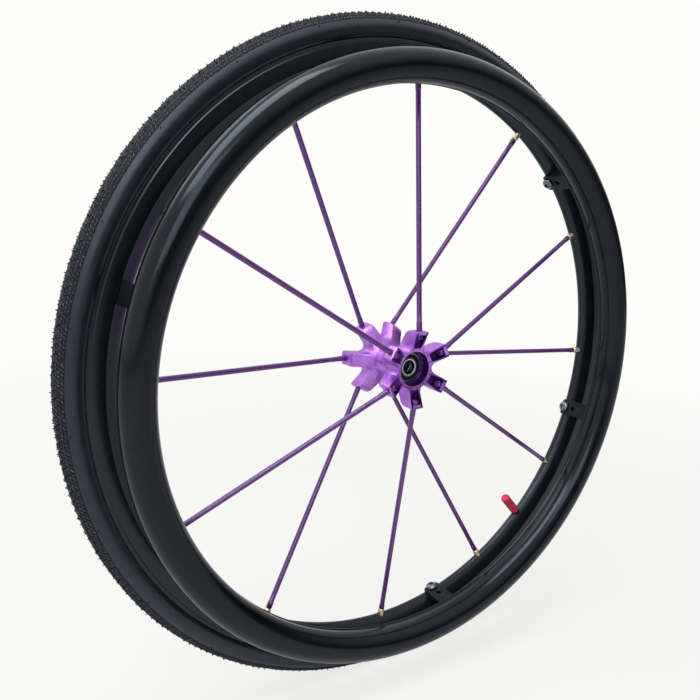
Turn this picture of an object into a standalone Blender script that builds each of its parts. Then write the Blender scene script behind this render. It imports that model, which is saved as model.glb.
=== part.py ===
"""Rear drive wheel of a sports wheelchair, with its handrim.

The wheel turns about the Y axis through the origin, which is the centre of
the tyre. The handrim is on the outboard side, at -Y. The inner bearing
races and the spacer between them stand still on the axle, and everything
else turns round them. All lengths are in metres.
"""

import math

import bmesh
import bpy
from mathutils import Matrix, Vector

# Clearances
FIT_GAP = 0.0003
PI = math.pi
TURN = 2 * math.pi

# Facets round each kind of turned piece
RING_STEPS = 36
HUB_STEPS = 24
BEARING_STEPS = 16
ROD_STEPS = 8
SCREW_STEPS = 10

# Tyre and inner tube
BEAD_SEAT_DIAMETER = 0.540
TYRE_HEIGHT = 0.025
TYRE_WIDTH = 0.025
TYRE_SIDE_WALL = 0.0024
TREAD_THICKNESS = 0.0038
BEAD_THICKNESS = 0.0030
TUBE_WALL = 0.0012

# Rim
RIM_WIDTH = 0.022
RIM_FLANGE_HEIGHT = 0.0045
RIM_FLANGE_CHAMFER = 0.0006
RIM_SIDE_HEIGHT = 0.0120
RIM_DEPTH = 0.0205
RIM_BED_WIDTH = 0.0110
RIM_WALL = 0.0018
RIM_FLANGE_SLOPE = 0.0034
RIM_FLANGE_LEAN = 0.0010
BED_NOSE_HEIGHT = 0.0040
BED_NOSE_HALF = 0.0012
BED_SHOULDER_HEIGHT = 0.0024
BED_SHOULDER_HALF = 0.0034
RIM_LEDGE_WIDTH = 0.0030
RIM_WELL_DEPTH = 0.0040
TAPE_THICKNESS = 0.0008
ACCESS_HOLE_DIAMETER = 0.0090

# Spokes and nipples
SPOKES_PER_FLANGE = 6
SPOKE_DIAMETER = 0.0046
SPOKE_FERRULE_DIAMETER = 0.0051
SPOKE_FERRULE_LENGTH = 0.0080
SPOKE_THREAD_DIAMETER = 0.0026
SPOKE_HEAD_DIAMETER = 0.0064
SPOKE_HEAD_LENGTH = 0.0034
NIPPLE_DIAMETER = 0.0062
NIPPLE_REACH = 0.0095
NIPPLE_TAPER = 0.0018
NIPPLE_HEAD_DIAMETER = 0.0080
NIPPLE_HEAD_LENGTH = 0.0022

# Hub
HUB_OFFSET = 0.0045
SPOKE_PLANE = 0.0320
BOSS_DIAMETER = 0.0336
BOSS_FACE = 0.0292
BARREL_DIAMETER = 0.0310
HUB_BORE_DIAMETER = 0.0240
RECESS_DIAMETER = 0.0314
RECESS_STEP = 0.0010
OUTBOARD_BEARING_DEPTH = 0.0077
INBOARD_BEARING_PROUD = 0.0005
PETAL_DIAMETER = 0.0700
PETAL_WIDTH = 0.0125
PETAL_FACE = 0.0375
PETAL_BASE_FACE = 0.0300
PETAL_ROOT = 0.0105
PETAL_SHOULDER_RADIUS = 0.0090
PETAL_SHOULDER_PLACE = 0.0275
PETAL_CORNER = 0.0015
PETAL_VALLEY_RADIUS = 0.0060
POCKET_WALL = 0.0019
POCKET_TIP_WALL = 0.0040
POCKET_INNER_RADIUS = 0.0190

# Bearings and spacer
AXLE_DIAMETER = 0.0127
BEARING_DIAMETER = 0.028575
BEARING_WIDTH = 0.007938
INNER_RACE_DIAMETER = 0.0178
OUTER_RACE_BORE = 0.0238
BALL_DIAMETER = 0.0036
BALL_COUNT = 8
CAGE_THICKNESS = 0.0010
CAGE_WIDTH = 0.0018
SEAL_THICKNESS = 0.0006
SPACER_DIAMETER = 0.0176

# Handrim, its tabs and their screws
HANDRIM_DIAMETER = 0.524
HANDRIM_TUBE_DIAMETER = 0.0264
HANDRIM_WALL = 0.0028
HANDRIM_OFFSET = 0.0439
LIP_ANGLE = math.radians(143)
LIP_WIDTH = 0.0032
LIP_HEIGHT = 0.0018
VENT_DIAMETER = 0.0030
TAB_COUNT = 6
TAB_ANGLE = math.radians(45)
TAB_WIDTH = 0.0165
TAB_THICKNESS = 0.0024
TAB_SADDLE = 0.0065
TAB_CORNER = 0.0020
TAB_HOLE_DIAMETER = 0.0046
TAB_HOLE_DEPTH = 0.0045
TAB_HOLE_PLACE = 0.0110
SCREW_DIAMETER = 0.0060
SCREW_HEAD_DIAMETER = 0.0110
SCREW_HEAD_HEIGHT = 0.0033
SCREW_LENGTH = 0.0110
SCREW_SOCKET = 0.0040
SCREW_SOCKET_DEPTH = 0.0018

# Valve
VALVE_ANGLE = math.radians(-45)
VALVE_STEM_DIAMETER = 0.0080
VALVE_THREAD_DIAMETER = 0.0074
VALVE_BORE_DIAMETER = 0.0044
VALVE_PIN_DIAMETER = 0.0016
VALVE_PIN_SEAT_DIAMETER = 0.0036
VALVE_PIN_LENGTH = 0.0110
VALVE_PIN_TRAVEL = 0.0015
VALVE_CAP_DIAMETER = 0.0095
VALVE_CAP_LENGTH = 0.0240
VALVE_CAP_END = 0.0016
VALVE_CAP_STAND = 0.0060

# Worked-out sizes
BEAD_RADIUS = BEAD_SEAT_DIAMETER / 2
TYRE_RADIUS = BEAD_RADIUS + TYRE_HEIGHT
SECTION_CENTER = TYRE_RADIUS - TYRE_WIDTH / 2
FLANGE_RADIUS = BEAD_RADIUS + RIM_FLANGE_HEIGHT
WELL_RADIUS = BEAD_RADIUS - RIM_WELL_DEPTH
BED_RADIUS = FLANGE_RADIUS - RIM_DEPTH
CREASE_RADIUS = FLANGE_RADIUS - RIM_SIDE_HEIGHT
NOSE_RADIUS = BED_RADIUS - BED_NOSE_HEIGHT
RIM_HALF = RIM_WIDTH / 2
CHANNEL_HALF = RIM_HALF - RIM_WALL
WELL_HALF = CHANNEL_HALF - RIM_LEDGE_WIDTH
BED_HALF = RIM_BED_WIDTH / 2
TAPE_HALF = WELL_HALF - FIT_GAP
TAPE_TOP = WELL_RADIUS + FIT_GAP + TAPE_THICKNESS
PETAL_RADIUS = PETAL_DIAMETER / 2
SPOKE_COUNT = 2 * SPOKES_PER_FLANGE
SPOKE_PITCH = TURN / SPOKE_COUNT
HANDRIM_TUBE_RADIUS = HANDRIM_TUBE_DIAMETER / 2
HANDRIM_CENTER = HANDRIM_DIAMETER / 2 - HANDRIM_TUBE_RADIUS
BEARING_SEAT_RADIUS = BEARING_DIAMETER / 2 + FIT_GAP
BALL_CENTER = (INNER_RACE_DIAMETER + OUTER_RACE_BORE) / 4
RACE_GROOVE = BALL_DIAMETER / 2 + FIT_GAP
VALVE_BORE_DEPTH = VALVE_PIN_LENGTH + VALVE_PIN_TRAVEL + 2 * FIT_GAP
OUTBOARD = -1
INBOARD = 1


def side_y(side, distance):
    """World Y of a point at a distance from the hub's middle plane."""
    return HUB_OFFSET + side * distance


OUTBOARD_BEARING_Y = side_y(OUTBOARD, BOSS_FACE - OUTBOARD_BEARING_DEPTH)
INBOARD_BEARING_Y = side_y(INBOARD, BOSS_FACE + INBOARD_BEARING_PROUD)


def clear_scene():
    """Remove whatever the file holds."""
    for obj in list(bpy.data.objects):
        bpy.data.objects.remove(obj, do_unlink=True)


def material(name, color, roughness, metallic):
    """A plain shader for one kind of surface."""
    mat = bpy.data.materials.new(name)
    mat.use_nodes = True
    shader = mat.node_tree.nodes["Principled BSDF"]
    shader.inputs["Base Color"].default_value = (*color, 1.0)
    shader.inputs["Roughness"].default_value = roughness
    shader.inputs["Metallic"].default_value = metallic
    return mat


def make_materials():
    """One material for each finish on the wheel."""
    return {
        "tyre": material("tyre_rubber", (0.028, 0.030, 0.036), 0.55, 0.0),
        "butyl": material("tube_rubber", (0.02, 0.02, 0.02), 0.7, 0.0),
        "tape": material("tape_fabric", (0.75, 0.72, 0.62), 0.8, 0.0),
        "rim": material("rim_coating", (0.012, 0.014, 0.022), 0.35, 0.3),
        "handrim": material("handrim_coating", (0.016, 0.016, 0.021), 0.28, 0.0),
        "tab": material("tab_coating", (0.02, 0.02, 0.025), 0.45, 0.0),
        "hub": material("hub_anodised", (0.33, 0.10, 0.56), 0.3, 0.85),
        "spoke": material("spoke_purple", (0.20, 0.07, 0.30), 0.35, 0.3),
        "brass": material("nipple_brass", (0.60, 0.50, 0.36), 0.3, 1.0),
        "steel": material("race_steel", (0.62, 0.63, 0.66), 0.22, 1.0),
        "screw": material("screw_steel", (0.35, 0.35, 0.37), 0.25, 1.0),
        "seal": material("seal_rubber", (0.015, 0.015, 0.017), 0.55, 0.0),
        "cap": material("cap_red", (0.60, 0.02, 0.09), 0.32, 0.5),
        "stem": material("stem_black", (0.02, 0.02, 0.02), 0.5, 0.0),
    }


def new_object(name, bm, mat, smooth_angle=math.radians(40)):
    """Turn a mesh in progress into an object of the scene."""
    bmesh.ops.recalc_face_normals(bm, faces=bm.faces)
    mesh = bpy.data.meshes.new(name)
    bm.to_mesh(mesh)
    bm.free()
    mesh.shade_smooth()
    mesh.set_sharp_from_angle(angle=smooth_angle)
    if mat:
        mesh.materials.append(mat)
    obj = bpy.data.objects.new(name, mesh)
    bpy.context.scene.collection.objects.link(obj)
    return obj


def copy_object(name, source, angle):
    """Another object on the same mesh, turned round the axle."""
    obj = bpy.data.objects.new(name, source.data)
    bpy.context.scene.collection.objects.link(obj)
    obj.rotation_euler = (0.0, -angle, 0.0)
    return obj


def hide_cutter(obj):
    """Keep a cutting shape out of the finished model."""
    obj.hide_render = True
    obj.display_type = "WIRE"
    obj.hide_viewport = False


def cut(obj, cutter, operation="DIFFERENCE"):
    """Cut, join or intersect an object with a cutting shape."""
    hide_cutter(cutter)
    mod = obj.modifiers.new(cutter.name, "BOOLEAN")
    mod.operation = operation
    mod.solver = "EXACT"
    mod.object = cutter


def spin_outline(bm, points, steps, closed=True):
    """Spin an outline of (radius, y) points once round the Y axis."""
    verts = [bm.verts.new((radius, y, 0.0)) for radius, y in points]
    pairs = list(zip(verts, verts[1:]))
    if closed:
        pairs.append((verts[-1], verts[0]))
    edges = [bm.edges.new(pair) for pair in pairs]
    bmesh.ops.spin(bm, geom=verts + edges, cent=(0, 0, 0), axis=(0, 1, 0),
                   dvec=(0, 0, 0), angle=TURN, steps=steps, use_merge=True)
    bmesh.ops.remove_doubles(bm, verts=bm.verts, dist=1e-7)


def turned(points, steps, closed=True):
    """A turned mesh in progress, on the Y axis."""
    bm = bmesh.new()
    spin_outline(bm, points, steps, closed)
    bmesh.ops.recalc_face_normals(bm, faces=bm.faces)
    return bm


def turned_flat(points, steps, facet_angle=0.0):
    """A turned ring with the middle of a facet at an angle round the axle.

    The facets touch the true circle, so a flat piece can sit on one and
    the overall size stays exact.
    """
    grow = 1.0 / math.cos(PI / steps)
    bm = turned([(radius * grow, y) for radius, y in points], steps)
    turn = radial_to_world(facet_angle + PI / steps)
    bmesh.ops.transform(bm, matrix=turn, verts=bm.verts)
    return bm


def mirrored(points):
    """An outline's half at +Y, followed by its mirror image at -Y."""
    return points + [(radius, -y) for radius, y in reversed(points)]


def arc(center, radius, start, end, steps, squash=1.0):
    """Points on an arc in the (radius, y) plane, angles from +radius."""
    points = []
    for i in range(steps + 1):
        angle = start + (end - start) * i / steps
        points.append((center[0] + radius * squash * math.cos(angle),
                       center[1] + radius * math.sin(angle)))
    return points


def radial_to_world(angle):
    """Turn a shape made on the +X side to its place round the axle."""
    return Matrix.Rotation(-angle, 4, "Y")


def merge_copies(bm_source, matrices):
    """One mesh in progress with a copy of a shape at each matrix."""
    mesh = bpy.data.meshes.new("copies")
    bm_source.to_mesh(mesh)
    bm_source.free()
    bm = bmesh.new()
    for matrix in matrices:
        before = set(bm.verts)
        bm.from_mesh(mesh)
        added = [vert for vert in bm.verts if vert not in before]
        bmesh.ops.transform(bm, matrix=matrix, verts=added)
    bpy.data.meshes.remove(mesh)
    return bm


def radial_rod(radius, start, end, steps, y=0.0):
    """A cylinder along +X from start to end, at a place on the axle."""
    bm = turned([(0.0, start), (radius, start), (radius, end), (0.0, end)],
                steps, closed=False)
    along_x = Matrix(((0, 1, 0, 0), (-1, 0, 0, y), (0, 0, 1, 0), (0, 0, 0, 1)))
    bmesh.ops.transform(bm, matrix=along_x, verts=bm.verts)
    return bm


def block(low, high):
    """A box between two corners."""
    bm = bmesh.new()
    bmesh.ops.create_cube(bm, size=1.0)
    size = Vector(high) - Vector(low)
    middle = (Vector(high) + Vector(low)) / 2
    matrix = Matrix.Translation(middle) @ Matrix.Diagonal((*size, 1.0))
    bmesh.ops.transform(bm, matrix=matrix, verts=bm.verts)
    return bm


def spoke_angles(side):
    """Where the spokes of one flange stand. The flanges are staggered."""
    first = 0.0 if side == INBOARD else SPOKE_PITCH
    return [first + 2 * SPOKE_PITCH * i for i in range(SPOKES_PER_FLANGE)]


def spoke_frame(side):
    """Matrix from a spoke's own axis, +Y outwards, to the +X side.

    The spoke's origin is where it leaves the petal's tip, and it ends on
    the rim's middle plane.
    """
    start = Vector((PETAL_RADIUS, side_y(side, SPOKE_PLANE), 0.0))
    end = Vector((BED_RADIUS, 0.0, 0.0))
    along = (end - start).normalized()
    return Matrix(((along.y, along.x, 0, start.x), (-along.x, along.y, 0, start.y),
                   (0, 0, 1, 0), (0, 0, 0, 1)))


def spoke_length(side):
    """From the petal's tip to the radius of the bed's edges."""
    drop = side_y(side, SPOKE_PLANE)
    return math.hypot(BED_RADIUS - PETAL_RADIUS, drop)


def spoke_tilt(side):
    """The angle between a spoke and the wheel's middle plane."""
    return abs(math.asin(side_y(side, SPOKE_PLANE) / spoke_length(side)))


def casing_points(inset):
    """Half of the tyre's inside surface, from its neck to its crown."""
    neck = FLANGE_RADIUS + FIT_GAP
    width = TYRE_WIDTH / 2 - TYRE_SIDE_WALL
    crown = TYRE_WIDTH / 2 - TREAD_THICKNESS
    low = math.acos((neck - SECTION_CENTER) / width)
    points = []
    for angle in (low, PI / 2, PI / 5):
        reach = width - inset
        squash = (crown - inset) / reach if angle < PI / 2 else 1.0
        points.append((SECTION_CENTER + reach * squash * math.cos(angle),
                       reach * math.sin(angle)))
    return points


def tyre_outline():
    """A clincher's section: two beads, side walls and a round crown."""
    bead_y = CHANNEL_HALF - FIT_GAP
    toe_y = bead_y - BEAD_THICKNESS
    neck = FLANGE_RADIUS + FIT_GAP
    radius = TYRE_WIDTH / 2
    shoulder = math.acos((neck + RIM_FLANGE_CHAMFER - SECTION_CENTER) / radius)
    outer = arc((SECTION_CENTER, 0.0), radius, shoulder, 0.0, 5)
    half = [(BEAD_RADIUS + FIT_GAP, bead_y), (neck, bead_y)] + outer
    inside = [(BEAD_RADIUS + FIT_GAP, toe_y)] + casing_points(0.0)
    outside = half + [(r, -y) for r, y in reversed(half[:-1])]
    return outside + list(reversed(mirrored(inside)))


def tube_outline():
    """The inflated tube's section, which fills the tyre."""
    toe_y = CHANNEL_HALF - FIT_GAP - BEAD_THICKNESS - FIT_GAP
    half = [(TAPE_TOP + FIT_GAP, toe_y - FIT_GAP), (BEAD_RADIUS + FIT_GAP, toe_y)]
    return mirrored(half + casing_points(FIT_GAP))


def air_outline():
    """The space inside the tube."""
    toe_y = CHANNEL_HALF - BEAD_THICKNESS - TUBE_WALL - FIT_GAP
    width = TYRE_WIDTH / 2 - TYRE_SIDE_WALL - TUBE_WALL - FIT_GAP
    crown = TYRE_RADIUS - TREAD_THICKNESS - FIT_GAP - 2 * TUBE_WALL
    return mirrored([(TAPE_TOP + FIT_GAP + TUBE_WALL, toe_y / 2),
                     (SECTION_CENTER, width), (crown, width / 2)])


def bed_points(depth):
    """Half of the bed's rounded nose, at a depth behind its inner face."""
    shoulder = BED_RADIUS - BED_SHOULDER_HEIGHT
    return [(radius + depth, half - depth / 3)
            for radius, half in ((NOSE_RADIUS, BED_NOSE_HALF), (shoulder, BED_SHOULDER_HALF))]


def rim_outline():
    """The rim's section: bed, slanted sides, flanges, ledges and well."""
    return mirrored([
        *bed_points(0.0),
        (BED_RADIUS, BED_HALF),
        (CREASE_RADIUS, RIM_HALF),
        (FLANGE_RADIUS - RIM_FLANGE_SLOPE, RIM_HALF),
        (FLANGE_RADIUS, RIM_HALF - RIM_FLANGE_LEAN),
        (FLANGE_RADIUS, CHANNEL_HALF),
        (BEAD_RADIUS, CHANNEL_HALF),
        (BEAD_RADIUS, WELL_HALF),
        (WELL_RADIUS, WELL_HALF),
    ])


def rim_hollow_outline():
    """The closed chamber between the rim's bed and its well."""
    slope = (RIM_HALF - BED_HALF) / (CREASE_RADIUS - BED_RADIUS)
    across = RIM_WALL * math.hypot(1.0, slope)
    return mirrored([
        *bed_points(RIM_WALL),
        (BED_RADIUS + RIM_WALL, BED_HALF + RIM_WALL * slope - across),
        (BED_RADIUS + (CHANNEL_HALF - BED_HALF + across) / slope, CHANNEL_HALF),
        (WELL_RADIUS - RIM_WALL, CHANNEL_HALF),
    ])


def tab_angles():
    """Where the handrim's tabs stand."""
    return [TAB_ANGLE + TURN * i / TAB_COUNT for i in range(TAB_COUNT)]


def rim_hole_cutter():
    """Holes for nipples, their tools, the tab screws and the valve."""
    holes = bmesh.new()
    bed_end = BED_RADIUS + 2 * RIM_WALL
    parts = []
    for side in (OUTBOARD, INBOARD):
        frame = spoke_frame(side)
        length = spoke_length(side)
        margin = BED_HALF
        radius = NIPPLE_DIAMETER / 2 + FIT_GAP
        bm = turned([(0, length - margin), (radius, length - margin),
                     (radius, length + margin / 2), (0, length + margin / 2)],
                    ROD_STEPS, closed=False)
        bmesh.ops.transform(bm, matrix=frame, verts=bm.verts)
        parts.append((bm, spoke_angles(side)))
        access = radial_rod(ACCESS_HOLE_DIAMETER / 2, WELL_RADIUS - 2 * RIM_WALL,
                            WELL_RADIUS + RIM_WALL, 6)
        parts.append((access, spoke_angles(side)))
    screw = radial_rod(SCREW_DIAMETER / 2 + FIT_GAP, NOSE_RADIUS - RIM_WALL,
                       bed_end, SCREW_STEPS)
    parts.append((screw, tab_angles()))
    valve = radial_rod(VALVE_STEM_DIAMETER / 2 + FIT_GAP, NOSE_RADIUS - RIM_WALL,
                       WELL_RADIUS + RIM_WALL, SCREW_STEPS)
    parts.append((valve, [VALVE_ANGLE]))
    for bm, angles in parts:
        merged = merge_copies(bm, [radial_to_world(angle) for angle in angles])
        mesh = bpy.data.meshes.new("holes")
        merged.to_mesh(mesh)
        merged.free()
        holes.from_mesh(mesh)
        bpy.data.meshes.remove(mesh)
    return new_object("rim_holes", holes, None)


def make_rim(mats):
    """The double-wall rim, hollow inside and drilled."""
    rim = new_object("rim", turned_flat(rim_outline(), RING_STEPS), mats["rim"])
    hollow = new_object("rim_chamber", turned_flat(rim_hollow_outline(), RING_STEPS), None)
    cut(rim, hollow)
    cut(rim, rim_hole_cutter())
    return [rim]


def make_tyre(mats):
    """The tyre, its inner tube and the tape that covers the rim's holes."""
    tyre = new_object("tyre", turned_flat(tyre_outline(), RING_STEPS), mats["tyre"])
    tube = new_object("inner_tube", turned_flat(tube_outline(), RING_STEPS), mats["butyl"])
    air = new_object("tube_air", turned_flat(air_outline(), RING_STEPS), None)
    cut(tube, air)
    tape_points = [(WELL_RADIUS + FIT_GAP, TAPE_HALF), (TAPE_TOP, TAPE_HALF)]
    tape = new_object("rim_tape", turned_flat(mirrored(tape_points), RING_STEPS), mats["tape"])
    hole = radial_rod(VALVE_STEM_DIAMETER / 2 + FIT_GAP, WELL_RADIUS - RIM_WALL,
                      BEAD_RADIUS + RIM_WELL_DEPTH, SCREW_STEPS)
    bmesh.ops.transform(hole, matrix=radial_to_world(VALVE_ANGLE), verts=hole.verts)
    valve_hole = new_object("valve_hole", hole, None)
    cut(tube, valve_hole)
    cut(tape, valve_hole)
    return [tyre, tube, tape]


def petal_star():
    """Outline across the axle of one flange's petals, with round valleys."""
    half = PETAL_WIDTH / 2
    pitch = TURN / SPOKES_PER_FLANGE
    tip = PETAL_RADIUS + PETAL_CORNER
    reach = (half + PETAL_VALLEY_RADIUS) / math.sin(pitch / 2)
    sweep = PI - pitch
    points = []
    for i in range(SPOKES_PER_FLANGE):
        angle = pitch * i
        along = Vector((math.cos(angle), math.sin(angle)))
        across = Vector((-along.y, along.x))
        corner = PETAL_RADIUS - PETAL_CORNER
        points.append(along * corner - across * half)
        points.append(along * tip - across * (half - 2 * PETAL_CORNER))
        points.append(along * tip + across * (half - 2 * PETAL_CORNER))
        points.append(along * corner + across * half)
        middle = angle + pitch / 2
        center = Vector((math.cos(middle), math.sin(middle))) * reach
        for j in range(4):
            turn = angle - PI / 2 - sweep * j / 3
            offset = Vector((math.cos(turn), math.sin(turn)))
            points.append(center + offset * PETAL_VALLEY_RADIUS)
    return points


def flange_outline():
    """Section of a flange blank as (radius, distance from hub middle)."""
    root = BARREL_DIAMETER / 2
    shoulder = arc((PETAL_RADIUS - PETAL_SHOULDER_RADIUS, PETAL_SHOULDER_PLACE),
                   PETAL_SHOULDER_RADIUS, math.radians(-70), 0.0, 3)
    inside = HUB_BORE_DIAMETER / 2 - RACE_GROOVE
    return ([(inside, PETAL_ROOT), (root, PETAL_ROOT)] + shoulder
            + [(PETAL_RADIUS, PETAL_FACE - RIM_FLANGE_CHAMFER),
               (PETAL_RADIUS - RIM_FLANGE_CHAMFER, PETAL_FACE),
               (BOSS_DIAMETER / 2, PETAL_BASE_FACE), (inside, PETAL_BASE_FACE)])


def make_flange(side, first_angle):
    """A ring of petals: a turned blank cut to the star's outline."""
    name = "flange_outboard" if side == OUTBOARD else "flange_inboard"
    points = [(radius, side_y(side, distance)) for radius, distance in flange_outline()]
    blank = new_object(name, turned_flat(points, HUB_STEPS), None)
    star = bmesh.new()
    low = side_y(side, PETAL_ROOT - RECESS_STEP)
    high = side_y(side, PETAL_FACE + RECESS_STEP)
    verts = [star.verts.new((p.x, low, p.y)) for p in petal_star()]
    face = star.faces.new(verts)
    extruded = bmesh.ops.extrude_face_region(star, geom=[face])
    moved = [item for item in extruded["geom"] if isinstance(item, bmesh.types.BMVert)]
    bmesh.ops.translate(star, vec=(0.0, high - low, 0.0), verts=moved)
    bmesh.ops.transform(star, matrix=radial_to_world(first_angle), verts=star.verts)
    cut(blank, new_object(name + "_star", star, None), "INTERSECT")
    hide_cutter(blank)
    return blank


def hub_body_outline():
    """The barrel and its two bosses, as (radius, y)."""
    boss = BOSS_DIAMETER / 2
    barrel = BARREL_DIAMETER / 2
    out_face = side_y(OUTBOARD, BOSS_FACE)
    in_face = side_y(INBOARD, BOSS_FACE)
    out_root = side_y(OUTBOARD, PETAL_SHOULDER_PLACE)
    in_root = side_y(INBOARD, PETAL_SHOULDER_PLACE)
    core = HUB_BORE_DIAMETER / 4
    return [(core, out_face), (boss, out_face), (boss, out_root),
            (barrel, out_root), (barrel, in_root), (boss, in_root),
            (boss, in_face), (core, in_face)]


def hub_bore_outline():
    """What is bored out of the hub: recess, bearing seats and waist."""
    seat = BEARING_SEAT_RADIUS
    bore = HUB_BORE_DIAMETER / 2
    core = bore / 3
    recess = RECESS_DIAMETER / 2
    recess_end = OUTBOARD_BEARING_Y - RECESS_STEP
    out_stop = OUTBOARD_BEARING_Y + BEARING_WIDTH + FIT_GAP
    in_stop = INBOARD_BEARING_Y - BEARING_WIDTH - FIT_GAP
    start = side_y(OUTBOARD, PETAL_FACE)
    end = side_y(INBOARD, PETAL_FACE)
    return [(core, start), (recess, start), (recess, recess_end),
            (seat, recess_end), (seat, out_stop), (bore, out_stop),
            (bore, in_stop), (seat, in_stop), (seat, end), (core, end)]


def petal_pockets(side):
    """Spoke-head pockets and spoke holes for one flange's petals."""
    frame = spoke_frame(side)
    half = PETAL_WIDTH / 2 - POCKET_WALL
    inner = POCKET_INNER_RADIUS - PETAL_RADIUS
    depth = SPOKE_HEAD_DIAMETER / 2 + FIT_GAP
    # A spoke's own +X points outboard, so the outboard pockets open that way.
    floor = side * depth
    mouth = -side * PETAL_FACE
    pocket = block((min(floor, mouth), inner, -half),
                   (max(floor, mouth), -POCKET_TIP_WALL, half))
    hole = turned([(0, -POCKET_TIP_WALL - FIT_GAP),
                   (SPOKE_FERRULE_DIAMETER / 2 + FIT_GAP, -POCKET_TIP_WALL - FIT_GAP),
                   (SPOKE_FERRULE_DIAMETER / 2 + FIT_GAP, POCKET_TIP_WALL),
                   (0, POCKET_TIP_WALL)], ROD_STEPS, closed=False)
    cutters = []
    names = ("pocket", "spoke_hole")
    label = "outboard" if side == OUTBOARD else "inboard"
    for name, bm in zip(names, (pocket, hole)):
        bmesh.ops.transform(bm, matrix=frame, verts=bm.verts)
        turns = [radial_to_world(angle) for angle in spoke_angles(side)]
        merged = merge_copies(bm, turns)
        cutters.append(new_object(f"{name}_cutter_{label}", merged, None))
    return cutters


def make_hub(mats):
    """The hub shell, machined from one billet."""
    hub = new_object("hub_shell", turned_flat(hub_body_outline(), HUB_STEPS), mats["hub"])
    for side in (OUTBOARD, INBOARD):
        cut(hub, make_flange(side, spoke_angles(side)[0]), "UNION")
    cut(hub, new_object("hub_bore", turned_flat(hub_bore_outline(), HUB_STEPS), None))
    for side in (OUTBOARD, INBOARD):
        for cutter in petal_pockets(side):
            cut(hub, cutter)
    return [hub]


def spoke_mesh(side):
    """A straight-pull spoke with a head, a ferrule and a threaded end."""
    length = spoke_length(side)
    shank = SPOKE_DIAMETER / 2
    ferrule = SPOKE_FERRULE_DIAMETER / 2
    thread = SPOKE_THREAD_DIAMETER / 2
    head = SPOKE_HEAD_DIAMETER / 2
    seat = -POCKET_TIP_WALL - FIT_GAP
    body_end = length - NIPPLE_REACH - FIT_GAP
    points = [(0, seat - SPOKE_HEAD_LENGTH), (head, seat - SPOKE_HEAD_LENGTH),
              (head, seat), (ferrule, seat), (ferrule, SPOKE_FERRULE_LENGTH),
              (shank, SPOKE_FERRULE_LENGTH + FIT_GAP), (shank, body_end),
              (thread, body_end), (thread, length), (0, length)]
    bm = turned(points, ROD_STEPS, closed=False)
    bmesh.ops.transform(bm, matrix=spoke_frame(side), verts=bm.verts)
    return bm


def nipple_mesh(side):
    """A brass nipple whose head seats on the back of the rim's bed."""
    length = spoke_length(side)
    tilt = spoke_tilt(side)
    bore = SPOKE_THREAD_DIAMETER / 2 + FIT_GAP
    body = NIPPLE_DIAMETER / 2
    head = NIPPLE_HEAD_DIAMETER / 2
    seat = length + (RIM_WALL + FIT_GAP + head * math.sin(tilt)) / math.cos(tilt)
    start = length - NIPPLE_REACH
    points = [(bore, start), (SPOKE_DIAMETER / 2, start),
              (body, start + NIPPLE_TAPER), (body, seat), (head, seat),
              (head, seat + NIPPLE_HEAD_LENGTH), (bore, seat + NIPPLE_HEAD_LENGTH)]
    bm = turned(points, ROD_STEPS)
    bmesh.ops.transform(bm, matrix=spoke_frame(side), verts=bm.verts)
    return bm


def make_spokes(mats):
    """Both flanges' spokes and nipples, numbered round the wheel."""
    pieces = []
    for side in (OUTBOARD, INBOARD):
        kinds = (("spoke", spoke_mesh(side), "spoke"),
                 ("nipple", nipple_mesh(side), "brass"))
        for kind, bm, finish in kinds:
            first = None
            for angle in spoke_angles(side):
                number = round(angle / SPOKE_PITCH) + 1
                name = f"{kind}_{number:02d}"
                if first is None:
                    first = new_object(name, bm, mats[finish])
                    first.rotation_euler = (0.0, -angle, 0.0)
                    pieces.append(first)
                else:
                    pieces.append(copy_object(name, first, angle))
    return pieces


def race_outline(side, inner):
    """Section of a bearing race with its ball groove."""
    middle = bearing_middle(side)
    half = BEARING_WIDTH / 2
    groove = RACE_GROOVE
    if inner:
        back, front = AXLE_DIAMETER / 2 + FIT_GAP / 3, INNER_RACE_DIAMETER / 2
        deep = BALL_CENTER - groove
    else:
        back, front = BEARING_DIAMETER / 2, OUTER_RACE_BORE / 2
        deep = BALL_CENTER + groove
    return [(back, middle - half), (front, middle - half), (front, middle - groove),
            (deep, middle), (front, middle + groove), (front, middle + half),
            (back, middle + half)]


def bearing_middle(side):
    """World Y of a bearing's middle plane."""
    face = OUTBOARD_BEARING_Y if side == OUTBOARD else INBOARD_BEARING_Y
    return face - side * BEARING_WIDTH / 2


def ball_cage_mesh(side):
    """The cage ring with its balls."""
    middle = bearing_middle(side)
    half = CAGE_WIDTH / 2
    low = BALL_CENTER - CAGE_THICKNESS / 2
    high = BALL_CENTER + CAGE_THICKNESS / 2
    return turned([(low, middle - half), (high, middle - half),
                   (high, middle + half), (low, middle + half)], BEARING_STEPS)


def ball_ring(side):
    """All the balls of one bearing, as one cutting shape."""
    ball = bmesh.new()
    bmesh.ops.create_uvsphere(ball, u_segments=5, v_segments=3, radius=BALL_DIAMETER / 2)
    place = Matrix.Translation((BALL_CENTER, bearing_middle(side), 0.0))
    bmesh.ops.transform(ball, matrix=place, verts=ball.verts)
    turns = [radial_to_world(TURN * i / BALL_COUNT) for i in range(BALL_COUNT)]
    return merge_copies(ball, turns)


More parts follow.
